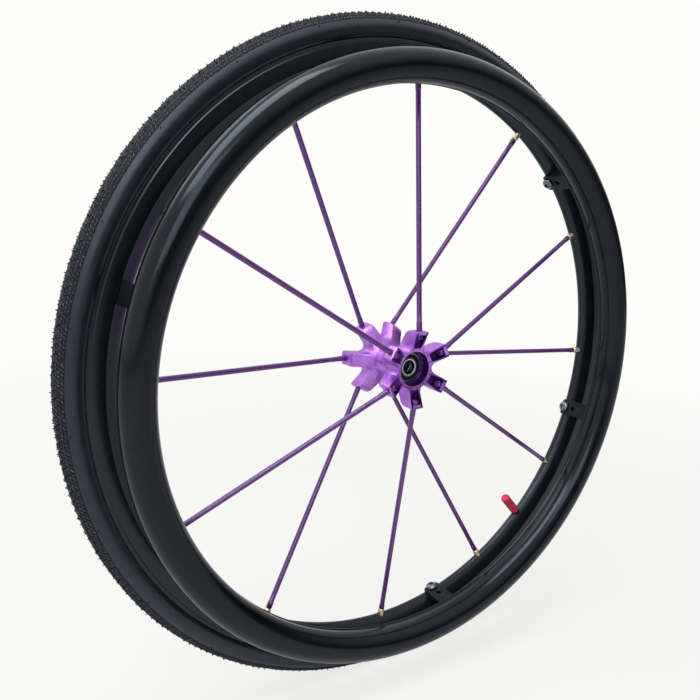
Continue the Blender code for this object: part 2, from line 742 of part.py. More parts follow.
def make_bearing(side, mats):
    """One ball bearing: races, balls in their cage, and two seals."""
    label = "outboard" if side == OUTBOARD else "inboard"
    outer = new_object(f"{label}_outer_race",
                       turned(race_outline(side, False), BEARING_STEPS), mats["steel"])
    inner = new_object(f"{label}_inner_race",
                       turned(race_outline(side, True), BEARING_STEPS), mats["steel"])
    cage = new_object(f"{label}_ball_cage", ball_cage_mesh(side), mats["steel"])
    cut(cage, new_object(f"{label}_balls", ball_ring(side), None), "UNION")
    seals = []
    for end, word in ((side, "outer"), (-side, "inner")):
        face = bearing_middle(side) + end * (BEARING_WIDTH / 2 - FIT_GAP)
        back = face - end * SEAL_THICKNESS
        low = INNER_RACE_DIAMETER / 2 + FIT_GAP
        high = OUTER_RACE_BORE / 2 - FIT_GAP
        seal = new_object(f"{label}_{word}_seal",
                          turned([(low, back), (high, back), (high, face), (low, face)],
                                 BEARING_STEPS), mats["seal"])
        seals.append(seal)
    return [outer] + seals, inner, cage


def make_spacer(mats):
    """The sleeve that holds the two inner races apart on the axle."""
    low = OUTBOARD_BEARING_Y + BEARING_WIDTH + FIT_GAP
    high = INBOARD_BEARING_Y - BEARING_WIDTH - FIT_GAP
    bore = AXLE_DIAMETER / 2 + FIT_GAP
    outer = SPACER_DIAMETER / 2
    points = [(bore, low), (outer, low), (outer, high), (bore, high)]
    return new_object("axle_spacer", turned(points, BEARING_STEPS), mats["steel"])


def handrim_outline():
    """The hand tube's section with the small lip on its rim side."""
    tube = HANDRIM_TUBE_RADIUS
    points = []
    count = 10
    base = LIP_WIDTH / 2 / tube
    top = base * 0.55
    start = LIP_ANGLE + base
    span = TURN - 2 * base
    for i in range(count + 1):
        angle = start + span * i / count
        points.append((HANDRIM_CENTER + tube * math.cos(angle),
                       -HANDRIM_OFFSET + tube * math.sin(angle)))
    for angle in (LIP_ANGLE - top, LIP_ANGLE + top):
        reach = tube + LIP_HEIGHT
        points.append((HANDRIM_CENTER + reach * math.cos(angle),
                       -HANDRIM_OFFSET + reach * math.sin(angle)))
    return points


def make_handrim(mats):
    """The hollow hand tube, with a vent behind each tab."""
    tube = turned_flat(handrim_outline(), RING_STEPS, TAB_ANGLE)
    handrim = new_object("handrim", tube, mats["handrim"])
    bore = HANDRIM_TUBE_RADIUS - HANDRIM_WALL
    hollow = []
    for i in range(5):
        angle = TURN * i / 5
        hollow.append((HANDRIM_CENTER + bore * math.cos(angle),
                       -HANDRIM_OFFSET + bore * math.sin(angle)))
    inside = turned_flat(hollow, RING_STEPS, TAB_ANGLE)
    cut(handrim, new_object("handrim_bore", inside, None))
    vent_radius = VENT_DIAMETER / 2
    vent = turned([(0, 0), (vent_radius, 0), (vent_radius, HANDRIM_TUBE_DIAMETER),
                   (0, HANDRIM_TUBE_DIAMETER)], 6, closed=False)
    aim = Matrix.Rotation(saddle_angle() - PI / 2, 4, "Z")
    place = Matrix.Translation((HANDRIM_CENTER, -HANDRIM_OFFSET, 0.0))
    bmesh.ops.transform(vent, matrix=place @ aim, verts=vent.verts)
    turns = [radial_to_world(angle) for angle in tab_angles()]
    cut(handrim, new_object("handrim_vents", merge_copies(vent, turns), None))
    return [handrim]


def rim_side_normal():
    """Away from the rim's slanted side, in the (radius, y) plane."""
    slope = Vector((CREASE_RADIUS - BED_RADIUS, BED_HALF - RIM_HALF)).normalized()
    return Vector((slope.y, -slope.x))


def crease_point():
    """Where a tab's wedge ends, just off the crease of the rim's side."""
    return Vector((CREASE_RADIUS, -RIM_HALF)) + rim_side_normal() * FIT_GAP


def saddle_angle():
    """The way from the middle of the hand tube's section to that crease."""
    crease = crease_point()
    return math.atan2(crease.y + HANDRIM_OFFSET, crease.x - HANDRIM_CENTER)


def tab_outline():
    """A tab seen along the rim, as (radius, y): foot, wedge and saddle."""
    foot = bed_points(-FIT_GAP)
    inner = NOSE_RADIUS - FIT_GAP - TAB_THICKNESS
    knee = Vector((BED_RADIUS, -BED_HALF)) + rim_side_normal() * FIT_GAP
    reach = HANDRIM_TUBE_RADIUS + FIT_GAP
    middle = saddle_angle()
    half = TAB_SADDLE / 2 / reach
    saddle = arc((HANDRIM_CENTER, -HANDRIM_OFFSET), reach, middle - half,
                 middle + half, 3)
    under = foot[::-1] + [(radius, -half) for radius, half in foot]
    return [(inner, under[0][1]), *under, tuple(knee), tuple(crease_point()), *saddle,
            (inner, -BED_HALF)]


def tab_mesh():
    """The tab's outline, extruded to its width and rounded at the foot."""
    bm = bmesh.new()
    half = TAB_WIDTH / 2
    verts = [bm.verts.new((radius, y, -half)) for radius, y in tab_outline()]
    face = bm.faces.new(verts)
    extruded = bmesh.ops.extrude_face_region(bm, geom=[face])
    moved = [item for item in extruded["geom"] if isinstance(item, bmesh.types.BMVert)]
    bmesh.ops.translate(bm, vec=(0, 0, TAB_WIDTH), verts=moved)
    corners = [edge for edge in bm.edges
               if all(vert.co.y > BED_SHOULDER_HALF and abs(vert.co.z) > half - FIT_GAP
                      for vert in edge.verts)
               and abs(edge.verts[0].co.z - edge.verts[1].co.z) < FIT_GAP]
    bmesh.ops.bevel(bm, geom=corners, offset=TAB_CORNER, segments=3, profile=0.5,
                    affect="EDGES")
    return bm


def tab_hole_cutter():
    """The screw hole and the second, narrower mounting hole of a tab."""
    inner = NOSE_RADIUS - FIT_GAP - TAB_THICKNESS
    screw = radial_rod(SCREW_DIAMETER / 2 + FIT_GAP, inner - TAB_THICKNESS,
                       BED_RADIUS + TAB_THICKNESS, SCREW_STEPS)
    second = radial_rod(TAB_HOLE_DIAMETER / 2, inner - TAB_THICKNESS,
                        inner + TAB_HOLE_DEPTH, ROD_STEPS, -TAB_HOLE_PLACE)
    mesh = bpy.data.meshes.new("hole")
    second.to_mesh(mesh)
    second.free()
    screw.from_mesh(mesh)
    bpy.data.meshes.remove(mesh)
    return new_object("tab_holes", screw, None)


def screw_mesh():
    """A button-head screw on the rim's middle plane, pointing outwards."""
    seat = NOSE_RADIUS - FIT_GAP - TAB_THICKNESS - FIT_GAP
    head = SCREW_HEAD_DIAMETER / 2
    top = seat - SCREW_HEAD_HEIGHT
    shank = SCREW_DIAMETER / 2
    socket = SCREW_SOCKET / 2 / math.cos(PI / 6)
    points = [(socket, top), (head * 0.62, top), (head * 0.9, top + SCREW_HEAD_HEIGHT * 0.4),
              (head, seat), (shank, seat), (shank, seat + SCREW_LENGTH),
              (0, seat + SCREW_LENGTH)]
    points = [(0, top + SCREW_SOCKET_DEPTH), (socket, top + SCREW_SOCKET_DEPTH)] + points
    bm = turned(points, SCREW_STEPS, closed=False)
    along_x = Matrix(((0, 1, 0, 0), (-1, 0, 0, 0), (0, 0, 1, 0), (0, 0, 0, 1)))
    bmesh.ops.transform(bm, matrix=along_x, verts=bm.verts)
    return bm


def make_tabs(mats):
    """Six tabs with their screws."""
    pieces = []
    holes = tab_hole_cutter()
    first_tab = new_object("handrim_tab_1", tab_mesh(), mats["tab"])
    first_screw = new_object("tab_screw_1", screw_mesh(), mats["screw"])
    cut(first_tab, holes)
    bpy.context.view_layer.update()
    graph = bpy.context.evaluated_depsgraph_get()
    drilled = bpy.data.meshes.new_from_object(first_tab.evaluated_get(graph))
    first_tab.modifiers.clear()
    first_tab.data = drilled
    for number, angle in enumerate(tab_angles(), start=1):
        for kind, first in (("handrim_tab", first_tab), ("tab_screw", first_screw)):
            name = f"{kind}_{number}"
            obj = first if number == 1 else copy_object(name, first, angle)
            obj.rotation_euler = (0.0, -angle, 0.0)
            pieces.append(obj)
    return pieces


def turned_on_valve(points, steps, closed=True):
    """A turned piece on the valve's axis, with +Y outwards."""
    bm = turned(points, steps, closed)
    along_x = Matrix(((0, 1, 0, 0), (-1, 0, 0, 0), (0, 0, 1, 0), (0, 0, 0, 1)))
    bmesh.ops.transform(bm, matrix=along_x, verts=bm.verts)
    bmesh.ops.transform(bm, matrix=radial_to_world(VALVE_ANGLE), verts=bm.verts)
    return bm


def make_valve(mats):
    """The valve: stem, spring-loaded pin and screw cap."""
    stem = VALVE_STEM_DIAMETER / 2
    thread = VALVE_THREAD_DIAMETER / 2
    bore = VALVE_BORE_DIAMETER / 2
    cap_open = BED_RADIUS - VALVE_CAP_STAND
    cap_tip = cap_open - VALVE_CAP_LENGTH
    stem_tip = cap_tip + VALVE_CAP_END + 2 * FIT_GAP
    stem_end = BEAD_RADIUS + FIT_GAP + TUBE_WALL
    stem_points = [(0, stem_tip + VALVE_BORE_DEPTH), (bore, stem_tip + VALVE_BORE_DEPTH),
                   (bore, stem_tip), (thread, stem_tip), (thread, cap_open + FIT_GAP),
                   (stem, cap_open + FIT_GAP), (stem, stem_end), (0, stem_end)]
    valve_stem = new_object("valve_stem",
                            turned_on_valve(stem_points, SCREW_STEPS, closed=False), mats["stem"])
    cap_inner = thread + FIT_GAP
    cap_outer = VALVE_CAP_DIAMETER / 2
    cap_points = [(0, cap_tip), (cap_outer - FIT_GAP, cap_tip),
                  (cap_outer, cap_tip + FIT_GAP), (cap_outer, cap_open),
                  (cap_inner, cap_open), (cap_inner, cap_tip + VALVE_CAP_END),
                  (0, cap_tip + VALVE_CAP_END)]
    valve_cap = new_object("valve_cap",
                           turned_on_valve(cap_points, SCREW_STEPS, closed=False), mats["cap"])
    pin = VALVE_PIN_DIAMETER / 2
    seat = VALVE_PIN_SEAT_DIAMETER / 2
    pin_end = stem_tip + VALVE_PIN_LENGTH
    pin_points = [(0, stem_tip), (pin, stem_tip), (pin, pin_end - 2 * pin),
                  (seat, pin_end - 2 * pin), (seat, pin_end), (0, pin_end)]
    valve_pin = new_object("valve_pin",
                           turned_on_valve(pin_points, ROD_STEPS, closed=False),
                           mats["brass"])
    return [valve_stem, valve_cap], valve_pin


def group(name, pieces, parent=None):
    """Parent the pieces of one body to an empty on its axis."""
    empty = bpy.data.objects.new(name, None)
    bpy.context.scene.collection.objects.link(empty)
    empty.parent = parent
    for piece in pieces:
        piece.parent = empty
    return empty


def main():
    """Build every piece of the wheel."""
    clear_scene()
    mats = make_materials()
    out_fixed, out_inner, out_cage = make_bearing(OUTBOARD, mats)
    in_fixed, in_inner, in_cage = make_bearing(INBOARD, mats)
    valve, valve_pin = make_valve(mats)
    turning = make_rim(mats) + make_tyre(mats) + make_hub(mats) + make_spokes(mats)
    turning += make_handrim(mats) + make_tabs(mats) + valve + out_fixed + in_fixed
    axle = group("axle_line", [out_inner, in_inner, make_spacer(mats)])
    wheel = group("wheel_axis", turning, axle)
    group("outboard_cage_axis", [out_cage], axle)
    group("inboard_cage_axis", [in_cage], axle)
    group("valve_axis", [valve_pin], wheel)


main()
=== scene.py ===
"""Looks of the wheelchair wheel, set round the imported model.

Everything is in metres in the row frame. The wheel stands upright on the
floor with its axle along Y and its handrim at -Y.
"""

import math
import random

import bmesh
import bpy
from mathutils import Matrix, Vector


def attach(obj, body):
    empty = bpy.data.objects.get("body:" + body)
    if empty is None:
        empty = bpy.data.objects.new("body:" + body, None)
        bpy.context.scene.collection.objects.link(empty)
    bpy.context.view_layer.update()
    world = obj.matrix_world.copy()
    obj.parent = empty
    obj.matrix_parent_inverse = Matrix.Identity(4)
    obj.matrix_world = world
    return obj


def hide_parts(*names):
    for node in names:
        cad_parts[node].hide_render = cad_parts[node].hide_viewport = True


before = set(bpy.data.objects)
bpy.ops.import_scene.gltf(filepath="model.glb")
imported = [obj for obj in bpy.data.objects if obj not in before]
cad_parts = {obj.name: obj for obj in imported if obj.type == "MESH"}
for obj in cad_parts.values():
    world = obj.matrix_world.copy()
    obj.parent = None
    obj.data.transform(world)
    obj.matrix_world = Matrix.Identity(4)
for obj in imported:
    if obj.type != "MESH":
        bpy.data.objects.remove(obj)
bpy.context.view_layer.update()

PI = math.pi
TURN = 2 * math.pi
MM = 0.001
# Clearance between neighbouring pieces
GAP = 0.0003

# The two sides of the hub, as signs along Y
OUTBOARD = -1
INBOARD = 1

# Tyre and rim
TYRE_RADIUS = 0.295
TYRE_SECTION = 0.0125
SECTION_CENTER = TYRE_RADIUS - TYRE_SECTION
BEAD_RADIUS = 0.270
SEAT_WIDTH = 0.003
FLANGE_RADIUS = 0.2745
CREASE_RADIUS = 0.2612
BED_RADIUS = 0.254
WELL_RADIUS = 0.266
RIM_HALF = 0.011
RIM_WALL = 0.0018
CHANNEL_HALF = RIM_HALF - RIM_WALL
WELL_HALF = CHANNEL_HALF - SEAT_WIDTH
BED_HALF = 0.0055
NOSE_RADIUS = 0.250
NOSE_HALF = 0.0012
NOSE_SHOULDER = 0.2516
NOSE_SHOULDER_HALF = 0.0034
FLANGE_EDGE = 0.2712
FLANGE_STEP = 0.0008
FLANGE_LEAN = 0.001

# Hub
HUB_OFFSET = 0.0045
SPOKE_PLANE = 0.032
PETAL_RADIUS = 0.035
PETAL_HALF = 0.00625
PETAL_CORNER = 0.0032
PETAL_VALLEY = 0.006
PETAL_FACE = 0.0375
PETAL_BASE = 0.0300
PETAL_ROOT = 0.0105
SHOULDER = 0.009
SHOULDER_PLACE = 0.0275
BOSS_RADIUS = 0.0168
BOSS_FACE = 0.0292
BARREL_RADIUS = 0.0155
HUB_BORE = 0.012
RECESS_RADIUS = 0.0157
POCKET_TIP = 0.004
POCKET_HALF = PETAL_HALF - 0.0019
POCKET_INNER = 0.019

# Spokes and nipples
SPOKE_RADIUS = 0.0023
FERRULE_RADIUS = 0.00255
FERRULE_LENGTH = 0.008
SPOKE_HEAD = 0.0032
SPOKE_HEAD_LENGTH = 0.0034
THREAD_RADIUS = 0.0013
COLLAR_START = 0.2402
COLLAR_RADIUS = 0.0026
NIPPLE_RADIUS = 0.0031
NIPPLE_REACH = 0.0095
NIPPLE_HEAD = 0.004
NIPPLE_HEAD_HEIGHT = 0.0022

# Bearings and spacer
AXLE_RADIUS = 0.00635
SLEEVE_RADIUS = 0.0088
BEARING_RADIUS = 0.0142875
BEARING_WIDTH = 0.007938
OUT_BEARING = -0.017
IN_BEARING = 0.0342
INNER_RACE = 0.0089
# Inside this radius an inner race's face is bright, and outside it is in shade
BRIGHT_RADIUS = 0.0076
OUTER_BORE = 0.0119
BALL_RADIUS = 0.0018
BALL_COUNT = 8

# Handrim, tabs and screws
HANDRIM_TUBE = 0.0132
HANDRIM_CENTER = 0.2488
HANDRIM_Y = -0.0439
LIP_ANGLE = math.radians(143)
LIP_WIDTH = 0.0032
TAB_WIDTH = 0.0165
TAB_THICKNESS = 0.0024
TAB_CORNER = 0.0024
TAB_SADDLE = 0.0071
TAB_HOLE_PLACE = 0.011
TAB_HOLE_RADIUS = 0.0023
TAB_ANGLES = [math.radians(45 + 60 * i) for i in range(6)]
SCREW_RADIUS = 0.003
SCREW_HEAD = 0.0055
SCREW_HEAD_HEIGHT = 0.0033
SCREW_SOCKET = 0.004
SCREW_LENGTH = 0.011

# Valve
VALVE_ANGLE = math.radians(-45)
VALVE_RADIUS = 0.004
CAP_RADIUS = 0.00475
CAP_TIP = 0.224
CAP_OPEN = 0.248
THREAD_CREST = 0.0037
PIN_BORE = 0.0022
FLUTES = 14
FLUTE_DEPTH = 0.00065


# Shapes are outlines that are turned or extruded, placed and cut.

def rounded(corners, steps=4):
    """A closed outline of (a, b, radius) corners, each turned into an arc."""
    points = []
    count = len(corners)
    for i, (a, b, radius) in enumerate(corners):
        here = Vector((a, b))
        if radius <= 0:
            points.append((a, b))
            continue
        back = Vector(corners[i - 1][:2]) - here
        ahead = Vector(corners[(i + 1) % count][:2]) - here
        half = back.angle(ahead) / 2
        reach = min(radius / math.tan(half), 0.48 * back.length, 0.48 * ahead.length)
        back.normalize()
        ahead.normalize()
        center = here + (back + ahead).normalized() * (reach / math.cos(half))
        start = here + back * reach - center
        end = here + ahead * reach - center
        first = math.atan2(start.y, start.x)
        sweep = math.atan2(start.x * end.y - start.y * end.x, start.dot(end))
        for k in range(steps + 1):
            angle = first + sweep * k / steps
            points.append((center.x + start.length * math.cos(angle),
                           center.y + start.length * math.sin(angle)))
    return points


def arc(center, radius, start, end, steps):
    """Points on an arc, angles from the first axis."""
    return [(center[0] + radius * math.cos(start + (end - start) * i / steps),
             center[1] + radius * math.sin(start + (end - start) * i / steps))
            for i in range(steps + 1)]


def mesh_from(verts, faces):
    """A mesh with its normals outwards."""
    mesh = bpy.data.meshes.new("shape")
    mesh.from_pydata(verts, [], faces)
    bm = bmesh.new()
    bm.from_mesh(mesh)
    bmesh.ops.remove_doubles(bm, verts=bm.verts, dist=1e-7)
    bmesh.ops.recalc_face_normals(bm, faces=bm.faces)
    bm.to_mesh(mesh)
    bm.free()
    return mesh


def ring_faces(count, steps, skip=()):
    """Faces between the copies of a closed outline round the axle."""
    faces = []
    for i in range(steps):
        ahead = (i + 1) % steps
        for j in range(count):
            if j not in skip:
                k = (j + 1) % count
                faces.append((i * count + j, i * count + k, ahead * count + k,
                              ahead * count + j))
    return faces


def turned(points, steps, shape=None):
    """An outline of (radius, y) spun round the Y axis.

    shape may change a radius by its place: shape(radius, y, angle).
    """
    count = len(points)
    verts = []
    for i in range(steps):
        angle = TURN * i / steps
        cos, sin = math.cos(angle), math.sin(angle)
        for radius, y in points:
            if shape:
                radius = shape(radius, y, angle)
            verts.append((radius * cos, y, radius * sin))
    on_axle = [j for j in range(count) if points[j][0] == 0 == points[(j + 1) % count][0]]
    return mesh_from(verts, ring_faces(count, steps, on_axle))


def extruded(points, low, high):
    """An outline of (x, y) points, extruded along Z."""
    count = len(points)
    verts = [(x, y, low) for x, y in points] + [(x, y, high) for x, y in points]
    faces = [tuple(range(count)), tuple(range(2 * count - 1, count - 1, -1))]
    faces += [(i, (i + 1) % count, count + (i + 1) % count, count + i) for i in range(count)]
    return mesh_from(verts, faces)


def placed(mesh, *matrices):
    """One mesh with a copy of a mesh at each matrix."""
    bm = bmesh.new()
    for matrix in matrices:
        before = len(bm.verts)
        bm.from_mesh(mesh)
        bm.verts.ensure_lookup_table()
        bmesh.ops.transform(bm, matrix=matrix, verts=bm.verts[before:])
    made = bpy.data.meshes.new("copies")
    bm.to_mesh(made)
    bm.free()
    return made


def booled(mesh, *steps, bevel=0.0, segments=2):
    """A mesh after exact booleans: (operation, mesh) pairs in order."""
    made = bpy.data.objects.new("work", mesh)
    bpy.context.scene.collection.objects.link(made)
    tools = []
    for operation, other in steps:
        tool = bpy.data.objects.new("tool", other)
        bpy.context.scene.collection.objects.link(tool)
        mod = made.modifiers.new("cut", "BOOLEAN")
        mod.operation = operation
        mod.solver = "EXACT"
        mod.object = tool
        tools.append(tool)
    if bevel:
        mod = made.modifiers.new("bevel", "BEVEL")
        mod.width = bevel
        mod.segments = segments
        mod.limit_method = "ANGLE"
        mod.angle_limit = math.radians(40)
        mod.use_clamp_overlap = True
    bpy.context.view_layer.update()
    graph = bpy.context.evaluated_depsgraph_get()
    result = bpy.data.meshes.new_from_object(made.evaluated_get(graph))
    for obj in [made] + tools:
        bpy.data.objects.remove(obj, do_unlink=True)
    return result


# For outlines: turn Y to X, stand one drawn in (y, z) on X, and one in (x, z) on Y
ALONG_X = Matrix(((0, 1, 0, 0), (-1, 0, 0, 0), (0, 0, 1, 0), (0, 0, 0, 1)))
PLAN_TO_X = Matrix(((0, 0, 1, 0), (1, 0, 0, 0), (0, 1, 0, 0), (0, 0, 0, 1)))
FACE_TO_Y = Matrix(((1, 0, 0, 0), (0, 0, 1, 0), (0, 1, 0, 0), (0, 0, 0, 1)))


def radial(angle):
    """From the +X side to a place round the axle."""
    return Matrix.Rotation(-angle, 4, "Y")


def side_y(side, distance):
    """World Y at a distance from the hub's middle plane."""
    return HUB_OFFSET + side * distance


def spoke_frame(side):
    """From a spoke's own axis, +Y outwards from the petal's tip, to +X."""
    start = Vector((PETAL_RADIUS, side_y(side, SPOKE_PLANE), 0.0))
    along = (Vector((BED_RADIUS, 0.0, 0.0)) - start).normalized()
    return Matrix(((along.y, along.x, 0, start.x), (-along.x, along.y, 0, start.y),
                   (0, 0, 1, 0), (0, 0, 0, 1)))


def spoke_length(side):
    """From the petal's tip to the radius of the bed's edges."""
    return math.hypot(BED_RADIUS - PETAL_RADIUS, side_y(side, SPOKE_PLANE))


def spoke_angles(side):
    """Where one flange's spokes stand."""
    first = 0 if side == INBOARD else 30
    return [math.radians(first + 60 * i) for i in range(6)]


def piece(name, mesh, mat, nodes=(), body="wheel", smooth=35, matrix=None):
    """Put a mesh in the scene as a piece of the object."""
    mesh.materials.clear()
    mesh.materials.append(mat)
    mesh.shade_smooth()
    mesh.set_sharp_from_angle(angle=math.radians(smooth))
    obj = bpy.data.objects.new(name, mesh)
    bpy.context.scene.collection.objects.link(obj)
    if matrix:
        obj.matrix_world = matrix
    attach(obj, body)
    if nodes:
        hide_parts(*nodes)
    return obj


# Materials are Principled shaders with noise, masks and bumps.

def linear(red, green, blue):
    """Scene-linear colour from 8-bit screen values."""
    def one(value):
        value /= 255
        return value / 12.92 if value <= 0.04045 else ((value + 0.055) / 1.055) ** 2.4
    return (one(red), one(green), one(blue), 1.0)


def add_node(tree, kind, links=None, **values):
    """A node with its settings, and inputs linked or set by name or number."""
    made = tree.nodes.new(kind)
    for key, value in values.items():
        setattr(made, key, value)
    for key, value in (links or {}).items():
        if isinstance(value, bpy.types.NodeSocket):
            tree.links.new(value, made.inputs[key])
        else:
            made.inputs[key].default_value = value
    return made


def add_math(tree, operation, a, b=0.0, clamp=False):
    """One sum on two values, kept within 0 to 1 if clamp is set."""
    return add_node(tree, "ShaderNodeMath", {0: a, 1: b}, operation=operation,
                    use_clamp=clamp).outputs[0]


def add_range(tree, value, low, high, to_low, to_high):
    """A value taken linearly from one range to another, and held there."""
    links = {"Value": value, "From Min": low, "From Max": high, "To Min": to_low,
             "To Max": to_high}
    return add_node(tree, "ShaderNodeMapRange", links).outputs["Result"]


class Finish:
    """A Principled material put together from noise, bumps and masks."""

    def __init__(self, name, roughness=0.5, metallic=0.0, **sockets):
        self.mat = bpy.data.materials.new(name)
        self.mat.use_nodes = True
        self.tree = self.mat.node_tree
        self.shader = self.tree.nodes["Principled BSDF"]
        self.shader.inputs["Roughness"].default_value = roughness
        self.shader.inputs["Metallic"].default_value = metallic
        for key, value in sockets.items():
            self.shader.inputs[key.replace("_", " ")].default_value = value
        self.coords = self.tree.nodes.new("ShaderNodeTexCoord").outputs["Object"]
        self.normal = None

    def node(self, kind, links=None, **values):
        """A node in this material."""
        return add_node(self.tree, kind, links, **values)

    def noise(self, scale, detail=4.0):
        """A noise value from 0 to 1."""
        return self.node("ShaderNodeTexNoise", {"Vector": self.coords, "Scale": scale,
                                                "Detail": detail,
                                                "Roughness": 0.6}).outputs["Fac"]

    def remap(self, value, low, high, to_low, to_high):
        """A value taken from one range to another."""
        return add_range(self.tree, value, low, high, to_low, to_high)

    def math(self, operation, a, b=0.0):
        """One sum on two values."""
        return add_math(self.tree, operation, a, b)

    def mix(self, factor, a, b):
        """A colour between two colours."""
        return self.node("ShaderNodeMix", {0: factor, 6: a, 7: b},
                         data_type="RGBA").outputs[2]

    def radius(self):
        """Distance from the axle."""
        flat = self.node("ShaderNodeVectorMath", {0: self.coords, 1: (1.0, 0.0, 1.0)},
                         operation="MULTIPLY")
        return self.node("ShaderNodeVectorMath", {0: flat.outputs[0]},
                         operation="LENGTH").outputs["Value"]

    def bump(self, height, distance):
        """Add relief of a real depth to the surface."""
        links = {"Height": height, "Distance": distance, "Strength": 1.0}
        if self.normal:
            links["Normal"] = self.normal
        self.normal = self.node("ShaderNodeBump", links).outputs["Normal"]

    def done(self, color, rough=None):
        """Link what was made to the shader."""
        self.tree.links.new(color, self.shader.inputs["Base Color"])
        if rough:
            self.tree.links.new(rough, self.shader.inputs["Roughness"])
        if self.normal:
            self.tree.links.new(self.normal, self.shader.inputs["Normal"])
        return self.mat


# Tint of the sheen on black rubber and coatings
COOL_SHEEN = (0.72, 0.84, 1.0, 1.0)


def wall_finish():
    """Satin rubber of the side walls."""
    made = Finish("tyre_rubber_detailed", Specular_IOR_Level=0.65, Specular_Tint=COOL_SHEEN)
    cloud = made.noise(55.0, 5.0)
    color = made.mix(cloud, linear(15, 18, 26), linear(24, 28, 39))
    made.bump(made.noise(900.0, 3.0), 0.00006)
    return made.done(color, made.remap(cloud, 0.3, 0.7, 0.34, 0.42))


def tread_finish():
    """Dull tread rubber: grooves darker as painted shade, and bar tops lighter with dust and light
    specks of painted highlight.
    """
    made = Finish("tread_rubber_detailed", Specular_IOR_Level=0.15)
    parts = made.node("ShaderNodeSeparateXYZ", {0: made.coords})
    rise = made.math("SUBTRACT", made.radius(), SECTION_CENTER)
    reach = made.math("SQRT", made.math("ADD", made.math("MULTIPLY", rise, rise),
                                        made.math("MULTIPLY", parts.outputs["Y"],
                                                  parts.outputs["Y"])))
    top = made.remap(reach, TYRE_SECTION - 0.0006, TYRE_SECTION - 0.0001, 0.0, 1.0)
    speck = made.remap(made.noise(1300.0, 2.0), 0.42, 0.62, 0.0, 1.0)
    patch = made.remap(made.noise(620.0, 3.0), 0.35, 0.65, 0.0, 1.0)
    # Bar tops: dust, with light specks that are painted highlights
    bar_dust_and_highlight = made.mix(speck, linear(38, 42, 50), linear(124, 128, 138))
    # Grooves: darker, a painted shade
    groove = made.mix(patch, linear(9, 10, 14), linear(48, 52, 60))
    made.bump(made.noise(900.0, 3.0), 0.00008)
    return made.done(made.mix(top, groove, bar_dust_and_highlight), made.remap(speck, 0.0, 1.0, 0.5, 0.65))


def coating_finish(name, dark, light, roughness, gloss=0.2):
    """A satin or gloss coating with faint orange peel, dust and smears."""
    made = Finish(name, Specular_IOR_Level=gloss, Specular_Tint=COOL_SHEEN)
    cloud = made.noise(38.0, 5.0)
    fine = made.noise(420.0, 3.0)
    specks = made.remap(made.noise(1500.0, 2.0), 0.68, 0.74, 0.0, 0.25)
    color = made.mix(specks, made.mix(cloud, dark, light), linear(120, 122, 124))
    rough = made.remap(cloud, 0.3, 0.7, roughness * 0.85, roughness * 1.2)
    made.bump(fine, 0.00002)
    return made.done(color, rough)


def hub_finish():
    """Bright purple anodised aluminium with fine turning and milling marks, and painted shade
    darker towards the axle.
    """
    made = Finish("hub_anodised_detailed", metallic=0.9)
    cloud = made.noise(90.0, 4.0)
    # Painted shade: the purple darkens towards the axle, between the flanges
    deep = made.remap(made.radius(), 0.012, 0.036, 0.0, 1.0)
    tone = made.mix(deep, linear(162, 96, 204), linear(182, 114, 222))
    color = made.mix(made.remap(cloud, 0.35, 0.7, 0.0, 1.0), tone, linear(206, 144, 240))
    rings = made.math("SINE", made.math("MULTIPLY", made.radius(), 26000.0))
    made.bump(rings, 0.000004)
    made.bump(made.noise(1300.0, 2.0), 0.000012)
    rough = made.remap(made.noise(300.0, 3.0), 0.3, 0.7, 0.24, 0.38)
    return made.done(color, rough)


def pocket_shade_finish():
    """Painted shade: darker purple anodising inside the spoke pockets and the bearing recess."""
    made = Finish("hub_pocket_painted_shade", metallic=0.85)
    cloud = made.noise(240.0, 4.0)
    made.bump(made.noise(1300.0, 2.0), 0.000012)
    return made.done(made.mix(cloud, linear(46, 12, 84), linear(104, 48, 150)),
                     made.remap(cloud, 0.3, 0.7, 0.22, 0.34))


def metal_finish(name, dark, light, roughness):
    """Plain metal with faint stains and fine marks."""
    made = Finish(name, metallic=1.0)
    cloud = made.noise(220.0, 4.0)
    rough = made.remap(made.noise(700.0, 3.0), 0.3, 0.7, roughness * 0.8, roughness * 1.35)
    made.bump(made.noise(1190.0, 2.0), 0.000012)
    return made.done(made.mix(cloud, dark, light), rough)


def spoke_finish():
    """Glossy purple jacket, and a darker collar towards the nipple."""
    made = Finish("spoke_jacket", Coat_Weight=0.7, Coat_Roughness=0.12, metallic=0.25)
    cloud = made.noise(14.0, 2.0)
    color = made.mix(cloud, linear(90, 34, 116), linear(114, 50, 144))
    collar = made.remap(made.radius(), COLLAR_START, COLLAR_START + 0.0004, 0.0, 1.0)
    color = made.mix(collar, color, linear(40, 18, 34))
    made.bump(made.noise(500.0, 3.0), 0.000002)
    rough = made.remap(cloud, 0.3, 0.7, 0.24, 0.3)
    return made.done(color, rough)


def cap_finish():
    """Red cap with faint grain."""
    made = Finish("cap_red_detailed", metallic=0.3, Coat_Weight=0.15)
    cloud = made.noise(260.0, 4.0)
    color = made.mix(cloud, linear(206, 6, 66), linear(234, 24, 92))
    made.bump(made.noise(1800.0, 2.0), 0.00002)
    return made.done(color, made.remap(cloud, 0.3, 0.7, 0.28, 0.4))


